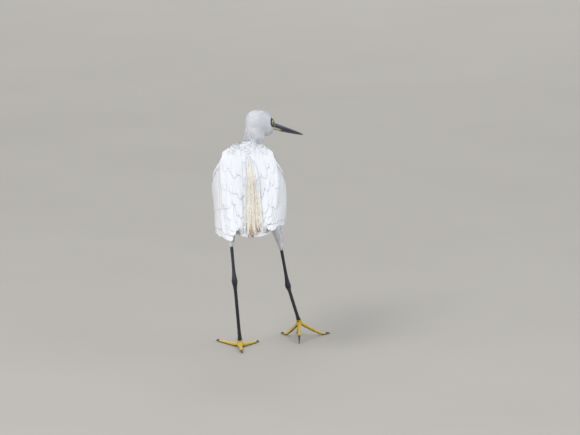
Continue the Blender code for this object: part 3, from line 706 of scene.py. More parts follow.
def sheets_mesh(name, upper, lower, maps):
    """Many thin sheets as one mesh. The points are sheet, row, column, and maps are per point."""
    count, rows, columns = upper.shape[:3]
    points = np.stack([upper, lower], axis=1)
    corners = sheet_corners(rows, columns)
    starts = np.arange(count)[:, None, None] * (2 * rows * columns)
    faces = (corners[None] + starts).reshape(-1)
    mesh = new_mesh(name, points, faces, np.full(count * len(corners), 4))
    turn_outwards(mesh)
    for key, values in maps.items():
        both = np.stack([values, values], axis=1).reshape(-1, 2)
        set_map(mesh, key, both)
    return mesh


BACK_ROWS = 17
TIP_ROWS = 9
VANE_COLUMNS = 7
VANE_ACROSS = np.array([-1.0, -0.72, -0.36, 0.0, 0.36, 0.72, 1.0])
SHEET_EDGE, SHEET_MIDDLE = 0.1, 0.24


def vane_rows(lengths, widths, sharpness):
    """Shares along each feather and its half width there: narrow root, even sides, round tip."""
    tip = np.minimum(sharpness * widths / lengths, 0.5)[:, None]
    straight = np.linspace(0.0, 1.0, BACK_ROWS)[None, :-1] * (1 - tip)
    turn = np.linspace(0.0, math.radians(86.0), TIP_ROWS)[None]
    shares = np.hstack([straight, 1 - tip + tip * np.sin(turn)])
    swell = (0.3 + 0.7 * ease(0.0, 0.3, shares)) * (0.94 + 0.06 * np.sin(math.pi * shares))
    round_off = np.hstack([np.ones_like(straight),
                           np.broadcast_to(np.cos(turn), (len(tip), TIP_ROWS))])
    return shares, widths[:, None] * swell * round_off


def frayed(draw, across, amount):
    """The columns of each row, with small dents and splits in the outer two."""
    count, rows = across.shape[:2]
    dents = 1 - amount * draw.random((count, rows, 2)) ** 3
    splits = np.where(draw.random((count, rows, 2)) < 0.05,
                      1 - 0.35 * draw.random((count, rows, 2)), 1.0)
    across = across.copy()
    across[:, :, 0] *= (dents * splits)[:, :, 0]
    across[:, :, -1] *= (dents * splits)[:, :, 1]
    return across


def sheet_levels(across):
    """The height of the upper and lower sides over the feather's own level."""
    flat = np.minimum(np.abs(across), 1.0)
    half = SHEET_EDGE + (SHEET_MIDDLE - SHEET_EDGE) * (1 - flat) ** 2
    arch = 0.14 * (1 - flat**2)
    return arch + half, arch - 0.6 * half


def atlas(count, across, shares, start, side):
    """A place for each feather on the bake map, in rows and columns of equal cells."""
    cell = 1.0 / side
    index = np.arange(count) + start
    left, low = (index % side) * cell, (index // side) * cell
    u = left[:, None, None] + cell * (0.5 + 0.42 * np.clip(across, -1, 1))
    v = low[:, None, None] + cell * (0.04 + 0.92 * shares[..., None])
    return np.stack([u, np.broadcast_to(v, u.shape)], axis=-1)


def vane_maps(draw, across, shares, lengths, tint, start, side):
    count = len(lengths)
    full = across.shape
    u = 0.5 + 0.5 * across
    v = np.broadcast_to((shares * lengths[:, None])[..., None] * 0.1, full)
    chance = np.broadcast_to(draw.random(count)[:, None, None], full)
    return {
        "vane": np.stack([u, v], axis=-1),
        "tone": np.stack([chance, np.broadcast_to(tint, full)], axis=-1),
        "OFBake": atlas(count, across, shares, start, side),
    }


# The wing's feathers in tiers, lowest first: how many, then for the inner and the outer end of
# the row the root's distance and angle, the tip's distance and angle, then the half width, the
# rise at the root, on the body and at the tip, and how drawn out the tip is.
WING_TIERS = (
    (10, (106, 60, 236, 36), (106, 91, 197, 76), 5.4, (1.3, 1.3, 1.0), 2.6),
    (15, (96, 38, 226, 31), (96, 88, 171, 84), 6.0, (2.6, 3.6, 2.3), 2.0),
    (14, (60, 36, 160, 38), (62, 92, 130, 92), 6.0, (4.6, 5.9, 4.2), 1.9),
    (13, (34, 40, 104, 44), (32, 92, 96, 92), 5.8, (4.8, 7.9, 6.3), 1.8),
)
VANE_TILT = 0.55
WING_SEEDS = {"l": 11, "r": 12}
WING_CELLS = 8


def tier_row(tier, draw, tag):
    """The tier's feathers: roots and tips as distance and angle, and half widths."""
    count, inner, outer = tier[:3]
    shares = np.linspace(0, 1, count)[:, None]
    rows = np.array(inner, float) * (1 - shares) + np.array(outer, float) * shares
    shorter = LONGEST_REACH - WING_REACH[tag]
    rows[:, 2] -= shorter * ease(90, LONGEST_REACH, rows[:, 2])
    rows[:, 2] += draw.uniform(-3.5, 3.0, count)
    rows[:, 3] += draw.uniform(-0.8, 0.8, count)
    rows[:, [1, 3]] = np.radians(rows[:, [1, 3]])
    return rows, tier[3] * draw.uniform(0.94, 1.06, count)


def wing_sheet(tag, rows, widths, rises, sharpness, draw, start):
    """Feathers lying along the folded wing, each with its outer edge over the next one."""
    side = 1 if tag == "l" else -1
    lengths = rows[:, 2] - rows[:, 0]
    shares, half = vane_rows(lengths, widths, sharpness)
    s = rows[:, 0, None] + lengths[:, None] * shares
    middle = rows[:, 1, None] + (rows[:, 3] - rows[:, 1])[:, None] * shares**1.6
    across = frayed(draw, np.broadcast_to(VANE_ACROSS, s.shape + (VANE_COLUMNS,)), 0.1)
    out = across * half[..., None]
    sections_here = wing_at(s)
    height = sections_here[..., 1] - torso_level(s)
    spread = np.hypot(sections_here[..., 0] * np.cos(middle), height * np.sin(middle))
    slant = np.gradient(middle, axis=1) * spread / np.maximum(np.gradient(s, axis=1), 1e-6)
    angle = middle[..., None] + out / spread[..., None]
    place = s[..., None] - out * np.clip(slant, -0.4, 0.4)[..., None]
    root, body, tip = rises
    level = root + (body - root) * ease(0.0, 0.2, shares) + (tip - body) * ease(0.45, 1.0, shares)
    level = level + draw.uniform(-0.12, 0.12, len(rows))[:, None]
    tilt = VANE_TILT * across * (half / widths[:, None])[..., None]
    high, low = sheet_levels(across)
    upper = wing_point(side, place, angle, level[..., None] + tilt + high)
    lower = wing_point(side, place, angle, level[..., None] + tilt + low)
    maps = vane_maps(draw, across, shares, lengths, 0.0, start, WING_CELLS)
    return upper, lower, maps


def joined_sheets(name, parts):
    upper = np.concatenate([part[0] for part in parts])
    lower = np.concatenate([part[1] for part in parts])
    maps = {key: np.concatenate([part[2][key] for part in parts]) for key in parts[0][2]}
    return sheets_mesh(name, upper, lower, maps)


def wing_feathers(tag, look):
    draw = np.random.default_rng(WING_SEEDS[tag])
    parts, start = [], 0
    for tier in WING_TIERS:
        rows, widths = tier_row(tier, draw, tag)
        parts.append(wing_sheet(tag, rows, widths, tier[4], tier[5], draw, start))
        start += len(rows)
    return new_piece("feathers_wing_" + tag, joined_sheets("feathers_wing_" + tag, parts), look)


# Flat feathers over the tail and the back


TAIL_COUNT = 12
TAIL_ROOT, TAIL_REACH, TAIL_ROUNDING = 182.0, 215.5, 0.42
TAIL_SPREAD, TAIL_SWING, TAIL_HALF_WIDTH = 24.0, -4.0, 7.2


def flat_sheet(line_s, line_x, widths, levels, shares, lengths, draw, tilt, tint, start, side,
               fray=0.1):
    """Feathers lying over the back: lines of distance, offset and level, with half widths."""
    across = frayed(draw, np.broadcast_to(VANE_ACROSS, line_s.shape + (VANE_COLUMNS,)), fray)
    out = across * widths[..., None]
    slope = np.gradient(line_x, axis=1) / np.maximum(np.gradient(line_s, axis=1), 1e-6)
    s = line_s[..., None] - out * np.clip(slope, -0.4, 0.4)[..., None]
    high, low = sheet_levels(across)
    lean = tilt * across
    upper = body_point(s, line_x[..., None] + out, levels[..., None] + lean + high)
    lower = body_point(s, line_x[..., None] + out, levels[..., None] + lean + low)
    return upper, lower, vane_maps(draw, across, shares, lengths, tint, start, side)


def tail_feathers(look):
    """The fan of tail feathers, the middle pair on top."""
    draw = np.random.default_rng(21)
    out = (np.arange(TAIL_COUNT) - (TAIL_COUNT - 1) / 2) * 4.5 / ((TAIL_COUNT - 1) / 2)
    reach = TAIL_REACH - TAIL_ROUNDING * 1.3 * out**2
    lengths = reach - TAIL_ROOT
    shares, widths = vane_rows(lengths, np.full(TAIL_COUNT, TAIL_HALF_WIDTH), 1.1)
    s = TAIL_ROOT + lengths[:, None] * shares
    x = out[:, None] / 4.5 * (6.0 + (TAIL_SPREAD - 6.0) * shares) + TAIL_SWING * shares
    levels = -11.0 - 0.9 * shares - 0.8 * np.abs(out)[:, None]
    tilt = -0.45 * np.sign(out)[:, None, None]
    tint = 0.12 * ease(0.3, 1.0, shares)[..., None]
    part = flat_sheet(s, x, widths, levels, shares, lengths, draw, tilt, tint, 0, 4)
    return new_piece("feathers_tail", joined_sheets("feathers_tail", [part]), look)


# The coat: small tufts combed over the skin


STEPS = 5
TUFT_SIDES = 4
TUFT_PATCH = 0.003


def sampled(draw, mesh, count):
    """Random places on a mesh, even by area, with the skin's normals there."""
    mesh.calc_loop_triangles()
    corners = np.empty(len(mesh.loop_triangles) * 3, np.int32)
    mesh.loop_triangles.foreach_get("vertices", corners)
    corners = corners.reshape(-1, 3)
    points, normals = points_of(mesh), normals_of(mesh)
    a, b, c = (points[corners[:, k]] for k in range(3))
    areas = np.linalg.norm(np.cross(b - a, c - a), axis=1)
    pick = draw.choice(len(corners), count, p=areas / areas.sum())
    shares = draw.dirichlet((1.0, 1.0, 1.0), count)[..., None]
    chosen = corners[pick]
    return (points[chosen] * shares).sum(1), unit((normals[chosen] * shares).sum(1))


def spaced(draw, points, gaps):
    """The places left when each has to keep its gap from those taken before it."""
    size = gaps.max()
    cells, kept = {}, []
    keys = np.floor(points / size).astype(int)
    steps = [(i, j, k) for i in (-1, 0, 1) for j in (-1, 0, 1) for k in (-1, 0, 1)]
    for index in draw.permutation(len(points)):
        x, y, z = keys[index]
        px, py, pz = points[index]
        limit = gaps[index] ** 2
        for i, j, k in steps:
            near = cells.get((x + i, y + j, z + k))
            if near and any((px - a) ** 2 + (py - b) ** 2 + (pz - c) ** 2 < limit for a, b, c in near):
                break
        else:
            cells.setdefault((x, y, z), []).append((px, py, pz))
            kept.append(index)
    return np.array(kept, int)


class Ground:
    """A surface that tufts and feathers are laid on."""

    def __init__(self, meshes):
        points, faces, normals = [], [], []
        start = 0
        for mesh in meshes:
            mesh.calc_loop_triangles()
            corners = np.empty(len(mesh.loop_triangles) * 3, np.int32)
            mesh.loop_triangles.foreach_get("vertices", corners)
            points.append(points_of(mesh))
            normals.append(normals_of(mesh))
            faces.append(corners.reshape(-1, 3) + start)
            start += len(points[-1])
        self.faces = np.vstack(faces)
        self.normals = np.vstack(normals)
        self.tree = BVHTree.FromPolygons(np.vstack(points).tolist(), self.faces.tolist())

    def combed(self, roots, flows, lengths):
        """Lines of places along the surface from each root, with the normals there."""
        lines = np.empty((len(roots), STEPS, 3))
        found = np.empty((len(roots), STEPS), int)
        near = self.tree.find_nearest
        for i, (root, flow, length) in enumerate(zip(roots, flows, lengths)):
            place, normal, index, _ = near(Vector(root))
            direction = Vector(flow)
            stride = float(length) / (STEPS - 1)
            for k in range(STEPS):
                lines[i, k] = place
                found[i, k] = index
                flat = direction - normal * direction.dot(normal)
                flat.normalize()
                place, normal, index, _ = near(place + flat * stride)
        normals = unit(self.normals[self.faces[found]].sum(2))
        return lines, normals

    def top(self, s, x):
        """The highest level of the surface off the back line at each s and x."""
        above = body_point(s, x, 70.0).reshape(-1, 3)
        down = Vector(-UPWARD)
        levels = np.full(len(above), -60.0)
        for i, place in enumerate(above):
            hit, _, _, distance = self.tree.ray_cast(Vector(place), down)
            if hit is not None:
                levels[i] = 70.0 - distance
        return levels.reshape(np.shape(s))


def sharpen(mesh, sides):
    """Sharp edges down both sides of each tuft, so that its faces take light as flat ones do."""
    ends = np.empty(len(mesh.edges) * 2, np.int32)
    mesh.edges.foreach_get("vertices", ends)
    a, b = ends.reshape(-1, 2).T
    edge = mesh.attributes.new("sharp_edge", "BOOLEAN", "EDGE")
    edge.data.foreach_set("value", (a % sides == b % sides) & (a % 2 == 0))


def rings_mesh(name, draw, rings, length, tints, places):
    """Tufts as one mesh, from the four points of each of their steps."""
    i = np.arange(STEPS - 1)[:, None] * TUFT_SIDES
    j = np.arange(TUFT_SIDES)[None]
    k = (j + 1) % TUFT_SIDES
    quads = np.stack([i + j, i + k, i + TUFT_SIDES + k, i + TUFT_SIDES + j], axis=-1).reshape(-1, 4)
    ends = np.array([[3, 2, 1, 0], [0, 1, 2, 3]]) + np.array([[0], [(STEPS - 1) * TUFT_SIDES]])
    corners = np.vstack([quads, ends])[:, ::-1]
    count = len(rings)
    starts = np.arange(count)[:, None, None] * (STEPS * TUFT_SIDES)
    mesh = new_mesh(name, rings, (corners[None] + starts).reshape(-1),
                    np.full(count * len(corners), 4))
    sharpen(mesh, TUFT_SIDES)
    shape = (count, STEPS, TUFT_SIDES)
    sides = np.broadcast_to(np.array([0.0, 0.5, 1.0, 0.5]), shape)
    ahead = np.broadcast_to(np.linspace(0, 1, STEPS)[None, :, None], shape)
    chance = np.broadcast_to(draw.random(count)[:, None, None], shape)
    tint = np.broadcast_to(tints[:, None, None], shape)
    stretch = ahead * length[:, None, None] * 0.1
    set_map(mesh, "vane", np.stack([sides, stretch], axis=-1).reshape(-1, 2))
    set_map(mesh, "tone", np.stack([chance, tint], axis=-1).reshape(-1, 2))
    patch = places[:, None, None, :] + TUFT_PATCH * (np.stack([sides, ahead], axis=-1) - 0.5)
    set_map(mesh, "OFBake", patch.reshape(-1, 2))
    return mesh


def tufts_mesh(name, draw, ground, roots, flows, sizes, tints, places):
    """Tufts as one mesh. Sizes has length, half width, thickness, rise, tip width and base level."""
    length, half, thick, rise, blunt, base = sizes.T
    flows = unit(flows + draw.normal(0, 0.06, flows.shape))
    lines, normals = ground.combed(roots, flows, length)
    shares = np.linspace(0, 1, STEPS)[None]
    level = base[:, None] - 0.35 + (rise[:, None] + 0.35) * shares**0.8
    level = level + draw.normal(0, 0.12, (len(roots), 1))
    centres = lines + normals * level[..., None]
    along = unit(np.gradient(centres, axis=1))
    across = unit(np.cross(normals, along))
    bend = draw.normal(0, 0.02, (len(roots), 1, 1)) * length[:, None, None] * (shares**2)[..., None]
    centres = centres + across * bend
    swell = 0.55 + 0.45 * np.sin(math.pi * np.minimum(shares * 1.3, 1) ** 0.8)
    taper = 1 - (1 - blunt[:, None]) * ease(0.45, 1.0, shares)
    wide = (half[:, None] * swell * taper)[..., None]
    deep = (thick[:, None] * (1 - 0.75 * shares))[..., None]
    over = np.cross(along, across)
    rings = np.stack(
        [centres - across * wide, centres + over * deep, centres + across * wide, centres - over * deep],
        axis=2,
    )
    return rings_mesh(name, draw, rings, length, tints, places)


def body_angles(points):
    """Distance along the back, and the angle round the body in the wing's own measure."""
    s, x, n = body_local(points)
    across = wing_at(np.clip(s, -6, 240))
    middle = torso_level(s)
    angle = np.arctan2(x / across[..., 0], (n - middle) / (across[..., 1] - middle))
    return s, x, angle


def on_wing(s, angle):
    inner, outer = wing_edges(np.clip(s, 0, 126))
    turned = np.abs(angle)
    return (s > -6) & (s < 127) & (turned > inner - 0.02) & (turned < outer + 0.03)


def streak_share(s, x):
    """How cream the long feathers are: a band down the back that widens to the tail."""
    middle = -4.5 * ease(48, 219, s)
    half_width = 3.0 + 9.0 * ease(50, 200, s)
    return (1 - ease(0.55, 1.15, np.abs(x - middle) / half_width)) * ease(35, 95, s)


def streak(points):
    """How cream the plumage is: a band down the middle of the back that widens to the tail."""
    s, x, n = body_local(points)
    return 0.45 * streak_share(s, x) * (n > torso_level(s))


def line_share(points, line):
    """How far along a line each point lies, from 0 to 1, and its angle round the line."""
    steps = np.linalg.norm(np.diff(line, axis=0), axis=1)
    travelled = np.concatenate([[0], np.cumsum(steps)])
    offset = points[:, None] - line[None, :-1]
    along = np.diff(line, axis=0)[None]
    t = np.clip((offset * along).sum(2) / (along**2).sum(2), 0, 1)
    gap = np.linalg.norm(offset - t[..., None] * along, axis=2)
    pick = gap.argmin(1)
    rows = np.arange(len(points))
    share = (travelled[pick] + t[rows, pick] * steps[pick]) / travelled[-1]
    out = (offset - t[..., None] * along)[rows, pick]
    direction = unit(along[0])[pick]
    side = np.array([1.0, 0.0, 0.0]) - direction * direction[:, :1]
    side = unit(side)
    angle = np.arctan2((out * np.cross(direction, side)).sum(1), (out * side).sum(1))
    return share, angle


def unwrapped(region, points):
    """Each place on the bake map: along the region and round it."""
    if region in ("back", "belly", "wing_l", "wing_r"):
        s, _, angle = body_angles(points)
        share = (s + 20) / 240
    elif region == "head":
        x, y, z = head_local(points).T
        share, angle = (x + 35) / 90, np.arctan2(y, z + 4)
    else:
        share, angle = line_share(points, REGION_LINES[region][0])
    share = np.clip(share, 0, 1)
    return 0.02 + 0.96 * np.stack([share, (angle + math.pi) / (2 * math.pi)], axis=-1)


# For each region of the coat: the gap between roots, then length, half width, thickness, rise
# and how blunt the tips are.
COAT = {
    "back": (2.3, 17.0, 1.7, 0.22, 1.6, 0.45),
    "belly": (2.9, 19.0, 1.7, 0.25, 2.0, 0.25),
    "neck": (1.75, 11.5, 0.95, 0.2, 1.3, 0.3),
    "head": (1.2, 6.6, 0.7, 0.16, 0.95, 0.3),
    "thigh_l": (2.0, 13.0, 0.9, 0.2, 1.2, 0.25),
    "thigh_r": (2.0, 13.0, 0.9, 0.2, 1.2, 0.25),
    "wing_l": (2.2, 13.0, 2.2, 0.2, 1.4, 0.6),
    "wing_r": (2.2, 13.0, 2.2, 0.2, 1.4, 0.6),
}
COAT_SAMPLES = 110000


def make_coat(skin, look):
    """The coat in one piece for each region of the body."""
    draw = np.random.default_rng(5)
    ground = Ground([skin.data])
    points, _ = sampled(draw, skin.data, COAT_SAMPLES)
    shares, lie = region_weights(points)
    names = list(shares)
    region = np.array(names)[np.argmax([shares[name] for name in names], axis=0)]
    s, x, angle = body_angles(points)
    torso = region == "torso"
    wing = torso & on_wing(s, angle)
    region[torso & (np.abs(angle) < math.radians(75))] = "back"
    region[torso & (np.abs(angle) >= math.radians(75))] = "belly"
    region[wing & (x > 0)] = "wing_l"
    region[wing & (x < 0)] = "wing_r"
    turned = np.degrees(np.abs(angle))
    under = torso & ~wing & (s > 100) & (s < 185) & (turned > 34) & (turned < 92)
    over = wing & (s > 54)
    face = head_local(points)
    hidden = (wing & (s > 28) & (turned < 52)) | (
        torso & ~wing & (s > 44) & (turned < 55) & (np.abs(x) > 9))
    keep = ~under & ~over & ~hidden & (bare_face(points) < 0.25)
    keep &= ~((face[:, 0] > 27.5) & (face[:, 2] > -8) & (region == "head"))
    keep &= ~((face[:, 0] > 41) & (region == "head"))
    pieces = []
    for name, (gap, length, half, thick, rise, blunt) in COAT.items():
        chosen = np.flatnonzero(keep & (region == name))
        near = np.ones(len(chosen))
        if name == "head":
            eye = np.hypot(face[chosen, 0] - EYE_FORWARD, face[chosen, 2] - EYE_UP)
            front = ease(4, 26, face[chosen, 0])
            near = 1 - 0.62 * np.maximum(front, 1 - ease(6, 16, eye))
        taken = spaced(draw, points[chosen], gap * np.sqrt(near))
        chosen, near = chosen[taken], near[taken]
        flows = lie[chosen]
        size = np.ones((len(chosen), 1)) * np.array([[length, half, thick, rise, blunt, 0.0]])
        size[:, 0] *= draw.uniform(0.8, 1.2, len(chosen)) * near
        size[:, 1] *= draw.uniform(0.8, 1.2, len(chosen)) * near**0.6
        size[:, 3] *= near**0.5
        here = s[chosen]
        if name in ("wing_l", "wing_r"):
            side = 1 if name == "wing_l" else -1
            turn = np.abs(angle[chosen])
            flows = unit(wing_point(side, here + 4, turn, 5.0) - wing_point(side, here, turn, 5.0))
            size[:, 5] = 3.2 * ease(22, 48, here)
        if name == "belly":
            size[:, 3] *= 0.6 + 0.4 * ease(60, 150, here)
        tints = streak(points[chosen])
        places = unwrapped(name, points[chosen])
        mesh = tufts_mesh("coat_" + name, draw, ground, points[chosen], flows, size, tints, places)
        pieces.append(new_piece("coat_" + name, mesh, look))
    return pieces


# Long feathers over the back, laid on what is below them


def laid_sheet(ground, s, x, widths, offset, shares, lengths, draw, tint, start, side, fray=0.1, tilt=0.0,
               least=None):
    """Feathers laid on a surface: each bends across its width as the surface does."""
    across = frayed(draw, np.broadcast_to(VANE_ACROSS, s.shape + (VANE_COLUMNS,)), fray)
    out = across * widths[..., None]
    reach = np.maximum(widths, 1.0)
    heights = [ground.top(s, x + k * reach) for k in (-1.0, 0.0, 1.0)]
    low, middle, high = heights
    middle = np.maximum(middle, np.maximum(low, high) - 1.2)
    for _ in range(3):
        padded = np.pad(middle, ((0, 0), (1, 1)), mode="edge")
        middle = np.maximum(middle, (padded[:, :-2] + 2 * middle + padded[:, 2:]) / 4)
    tips = np.stack([low, high])
    tips = np.clip(tips, middle - 2.4, middle + 0.8)
    for _ in range(4):
        padded = np.pad(tips, ((0, 0), (0, 0), (1, 1)), mode="edge")
        tips = (padded[..., :-2] + 2 * tips + padded[..., 2:]) / 4
    low, high = tips
    lean, arch = (high - low) / 2, (high + low) / 2 - middle
    if least is not None:
        middle = np.maximum(middle, least)
    ratio = out / reach[..., None]
    level = (middle + offset)[..., None] + ratio * lean[..., None] + ratio**2 * arch[..., None]
    level = level + tilt * ratio
    slope = np.gradient(x, axis=1) / np.maximum(np.gradient(s, axis=1), 1e-6)
    place = s[..., None] - out * np.clip(slope, -0.4, 0.4)[..., None]
    above, below = sheet_levels(across)
    upper = body_point(place, x[..., None] + out, level + above)
    lower = body_point(place, x[..., None] + out, level + below)
    return upper, lower, vane_maps(draw, across, shares, lengths, tint, start, side)


# Rows of long shoulder feathers on each side: how many, the inner and the outer feather's root
# and tip as distance and offset, half width, and how drawn out the tip is.
SHOULDER_ROWS = (
    (5, (96, 7, 207, 10), (88, 18, 196, 20), 4.6, 4.0),
    (12, (62, 7, 178, 10), (44, 38, 150, 39), 4.6, 3.6),
    (13, (40, 7, 142, 10), (22, 37, 112, 40), 4.5, 3.6),
    (14, (18, 5, 104, 9), (4, 33, 74, 38), 4.3, 3.4),
)
BIG_FEATHERS = {
    "l": ((84, 24, 214, 23, 8.0), (74, 27, 190, 27, 8.5), (62, 30, 163, 32, 9.0)),
    "r": ((84, 24, 204, 20, 7.5), (74, 28, 182, 26, 7.5)),
}
BACK_CELLS = 10


def side_rows(draw, row):
    count, inner, outer, full, sharpness = row
    shares = np.linspace(0, 1, count)[:, None]
    rows = np.array(inner, float) * (1 - shares) + np.array(outer, float) * shares
    rows[:, 0] += draw.uniform(-3, 3, count)
    rows[:, 2] += draw.uniform(-13, 9, count)
    rows[:, 3] += draw.uniform(-0.8, 0.8, count)
    return rows, np.full(count, full) * draw.uniform(0.9, 1.1, count)


def long_feather(ground, draw, side, rows, widths, sharpness, start, offset):
    lengths = rows[:, 2] - rows[:, 0]
    shares, half = vane_rows(lengths, widths, sharpness)
    s = rows[:, 0, None] + lengths[:, None] * shares
    x = side * (rows[:, 1, None] + (rows[:, 3] - rows[:, 1])[:, None] * shares)
    tint = streak_share(s, x)[..., None] * 0.8
    lift = offset * ease(0.0, 0.25, shares) * (1 - 0.6 * ease(0.6, 1.0, shares))
    lift = lift - 0.8 * (1 - ease(0.0, 0.18, shares))
    step = 0.08 * (len(rows) - 1 - np.arange(len(rows)))[:, None] * ease(0.0, 0.4, shares)
    return laid_sheet(ground, s, x, half, lift + step * 0.6, shares, lengths, draw, tint, start, BACK_CELLS,
                      tilt=0.3 * side)


def shoulder_feathers(below, look):
    """The big inner wing feathers and the shoulder feathers, from the lowest row up."""
    draw = np.random.default_rng(33)
    pieces = {}
    for tag, side in (("l", 1), ("r", -1)):
        parts, start, laid = [], 0, list(below)
        for s0, x0, s1, x1, width in BIG_FEATHERS[tag]:
            ground = Ground(laid)
            rows = np.array([[s0, x0, s1, x1]], float)
            parts.append(long_feather(ground, draw, side, rows, np.array([width]), 1.25, start,
                                      0.5))
            laid.append(joined_sheets("laid", parts[-1:]))
            start += 1
        for row in SHOULDER_ROWS:
            ground = Ground(laid)
            rows, widths = side_rows(draw, row)
            parts.append(long_feather(ground, draw, side, rows, widths, row[4], start, 0.5))
            laid.append(joined_sheets("laid", parts[-1:]))
            start += len(rows)
        name = "feathers_shoulder_" + tag
        pieces[tag] = new_piece(name, joined_sheets(name, parts), look)
    return pieces


PLUMES = 26
PLUME_LEVELS = (
    (44, 2.2),
    (66, 6.9),
    (85, 7.2),
    (110, 6.4),
    (135, 2.9),
    (160, -2.4),
    (185, -5.8),
    (210, -8.2),
    (230, -9.6),
)


def back_plumes(below, look):
    """The long fine plumes down the middle of the back, loose and cream to tan."""
    draw = np.random.default_rng(44)
    out = (np.arange(PLUMES) - (PLUMES - 1) / 2) / ((PLUMES - 1) / 2)
    draw.shuffle(out)
    reach = 219.0 - 14.0 * np.abs(out) + draw.uniform(-16, 4, PLUMES)
    root = 46.0 + 14.0 * np.abs(out) + draw.uniform(-4, 10, PLUMES)
    lengths = reach - root
    widths = draw.uniform(1.3, 2.2, PLUMES)
    shares, half = vane_rows(lengths, widths, 12.0)
    s = root[:, None] + lengths[:, None] * shares
    phase = draw.uniform(0, 6.3, (PLUMES, 1))
    wave = 0.8 * np.sin(shares * draw.uniform(3, 7, (PLUMES, 1)) + phase) * shares
    x = out[:, None] * (9.5 + 4.5 * shares) - 4.5 * shares**1.3 + wave
    level_at = sections(PLUME_LEVELS)
    layer = draw.uniform(0.0, 1.6, (PLUMES, 1))
    least = level_at(s)[..., 0] - 1.0
    lift = (0.35 + layer) * ease(0.0, 0.15, shares)
    brown = draw.uniform(0.0, 1.0, (PLUMES, 1)) > 0.72
    tint = streak_share(s, x * 0.8) * (0.35 + 0.3 * draw.random((PLUMES, 1)))
    tint = tint + 0.45 * brown * ease(172, 205, s) * (np.abs(x + 5) < 10)
    part = laid_sheet(Ground(below), s, x, half, lift, shares, lengths, draw, tint[..., None], 0, 6,
                      fray=0.5, least=least)
    mesh = joined_sheets("plumes_back", [part])
    return new_piece("plumes_back", mesh, look), part, shares, lengths, tint


def plume_barbs(part, shares, tint, look):
    """Fine loose barbs down both sides of the back plumes."""
    draw = np.random.default_rng(45)
    upper = part[0]
    middle = (VANE_COLUMNS - 1) // 2
    lines = upper[:, :, middle]
    per_plume = 64
    count = len(lines) * per_plume
    plume = np.repeat(np.arange(len(lines)), per_plume)
    share = draw.uniform(0.25, 0.97, count)
    row = np.clip((share[:, None] > shares[plume]).sum(1) - 1, 0, shares.shape[1] - 2)
    low, high = shares[plume, row], shares[plume, row + 1]
    blend = ((share - low) / np.maximum(high - low, 1e-6))[:, None]
    root = lines[plume, row] * (1 - blend) + lines[plume, row + 1] * blend
    along = unit(lines[plume, row + 1] - lines[plume, row])
    side = np.where(draw.random(count) < 0.5, -1.0, 1.0)[:, None]
    across = unit(upper[plume, row, -1] - upper[plume, row, 0]) * side
    length = draw.uniform(8, 17, count) * (1 - 0.3 * share)
    spread = draw.uniform(0.10, 0.26, count)
    steps = np.linspace(0, 1, STEPS)
    way = along[:, None] * (length[:, None] * steps)[..., None]
    way = way + across[:, None] * (length * spread)[:, None, None] * (steps**0.7)[None, :, None]
    rise = UPWARD * draw.uniform(0.2, 1.0, (count, 1))
    centres = root[:, None] + way + rise[:, None] * (steps * (1.2 - steps))[None, :, None]
    forward = unit(np.gradient(centres, axis=1))
    flat = unit(np.cross(np.broadcast_to(UPWARD, forward.shape), forward))
    over = np.cross(forward, flat)
    wide = (0.24 * (1 - 0.8 * steps))[None, :, None]
    rings = np.stack([centres - flat * wide, centres + over * wide * 0.5, centres + flat * wide,
                      centres - over * wide * 0.5], axis=2)
    places = part[2]["OFBake"][plume, row, middle]
    tints = tint[plume, row]
    mesh = rings_mesh("plumes_back_barbs", draw, rings, length, tints, places)
    return new_piece("plumes_back_barbs", mesh, look)


# The head: bill, eyes, lids and the bare skin round them


BILL_START, BILL_BASE = 26.8, 29.3
UPPER_BILL = (
    (29.3, 5.7, 6.2),
    (38, 5.0, 5.4),
    (52, 4.2, 4.6),
    (68, 3.3, 3.8),
    (86, 2.3, 2.8),
    (101, 1.4, 1.8),
    (108.5, 0.75, 1.0),
    (111, 0.3, 0.5),
)
LOWER_BILL = (
    (29.3, 5.4, 5.8),
    (38, 4.8, 5.3),
    (52, 4.0, 4.7),
    (68, 3.1, 3.9),
    (86, 2.1, 2.7),
    (100, 1.2, 1.6),
    (107, 0.6, 0.8),
    (109.5, 0.3, 0.5),
)
MOUTH_LEVEL, MOUTH_GAP = -1.2, 0.3
BILL_ROWS, BILL_ARC, BILL_FLAT = 90, 45, 9
GROOVE_ANGLE, GROOVE_DEPTH, NOSTRIL_DEPTH = 0.66, 0.5, 0.9
NOSTRIL_PLACE, NOSTRIL_LENGTH = 37.0, 3.2


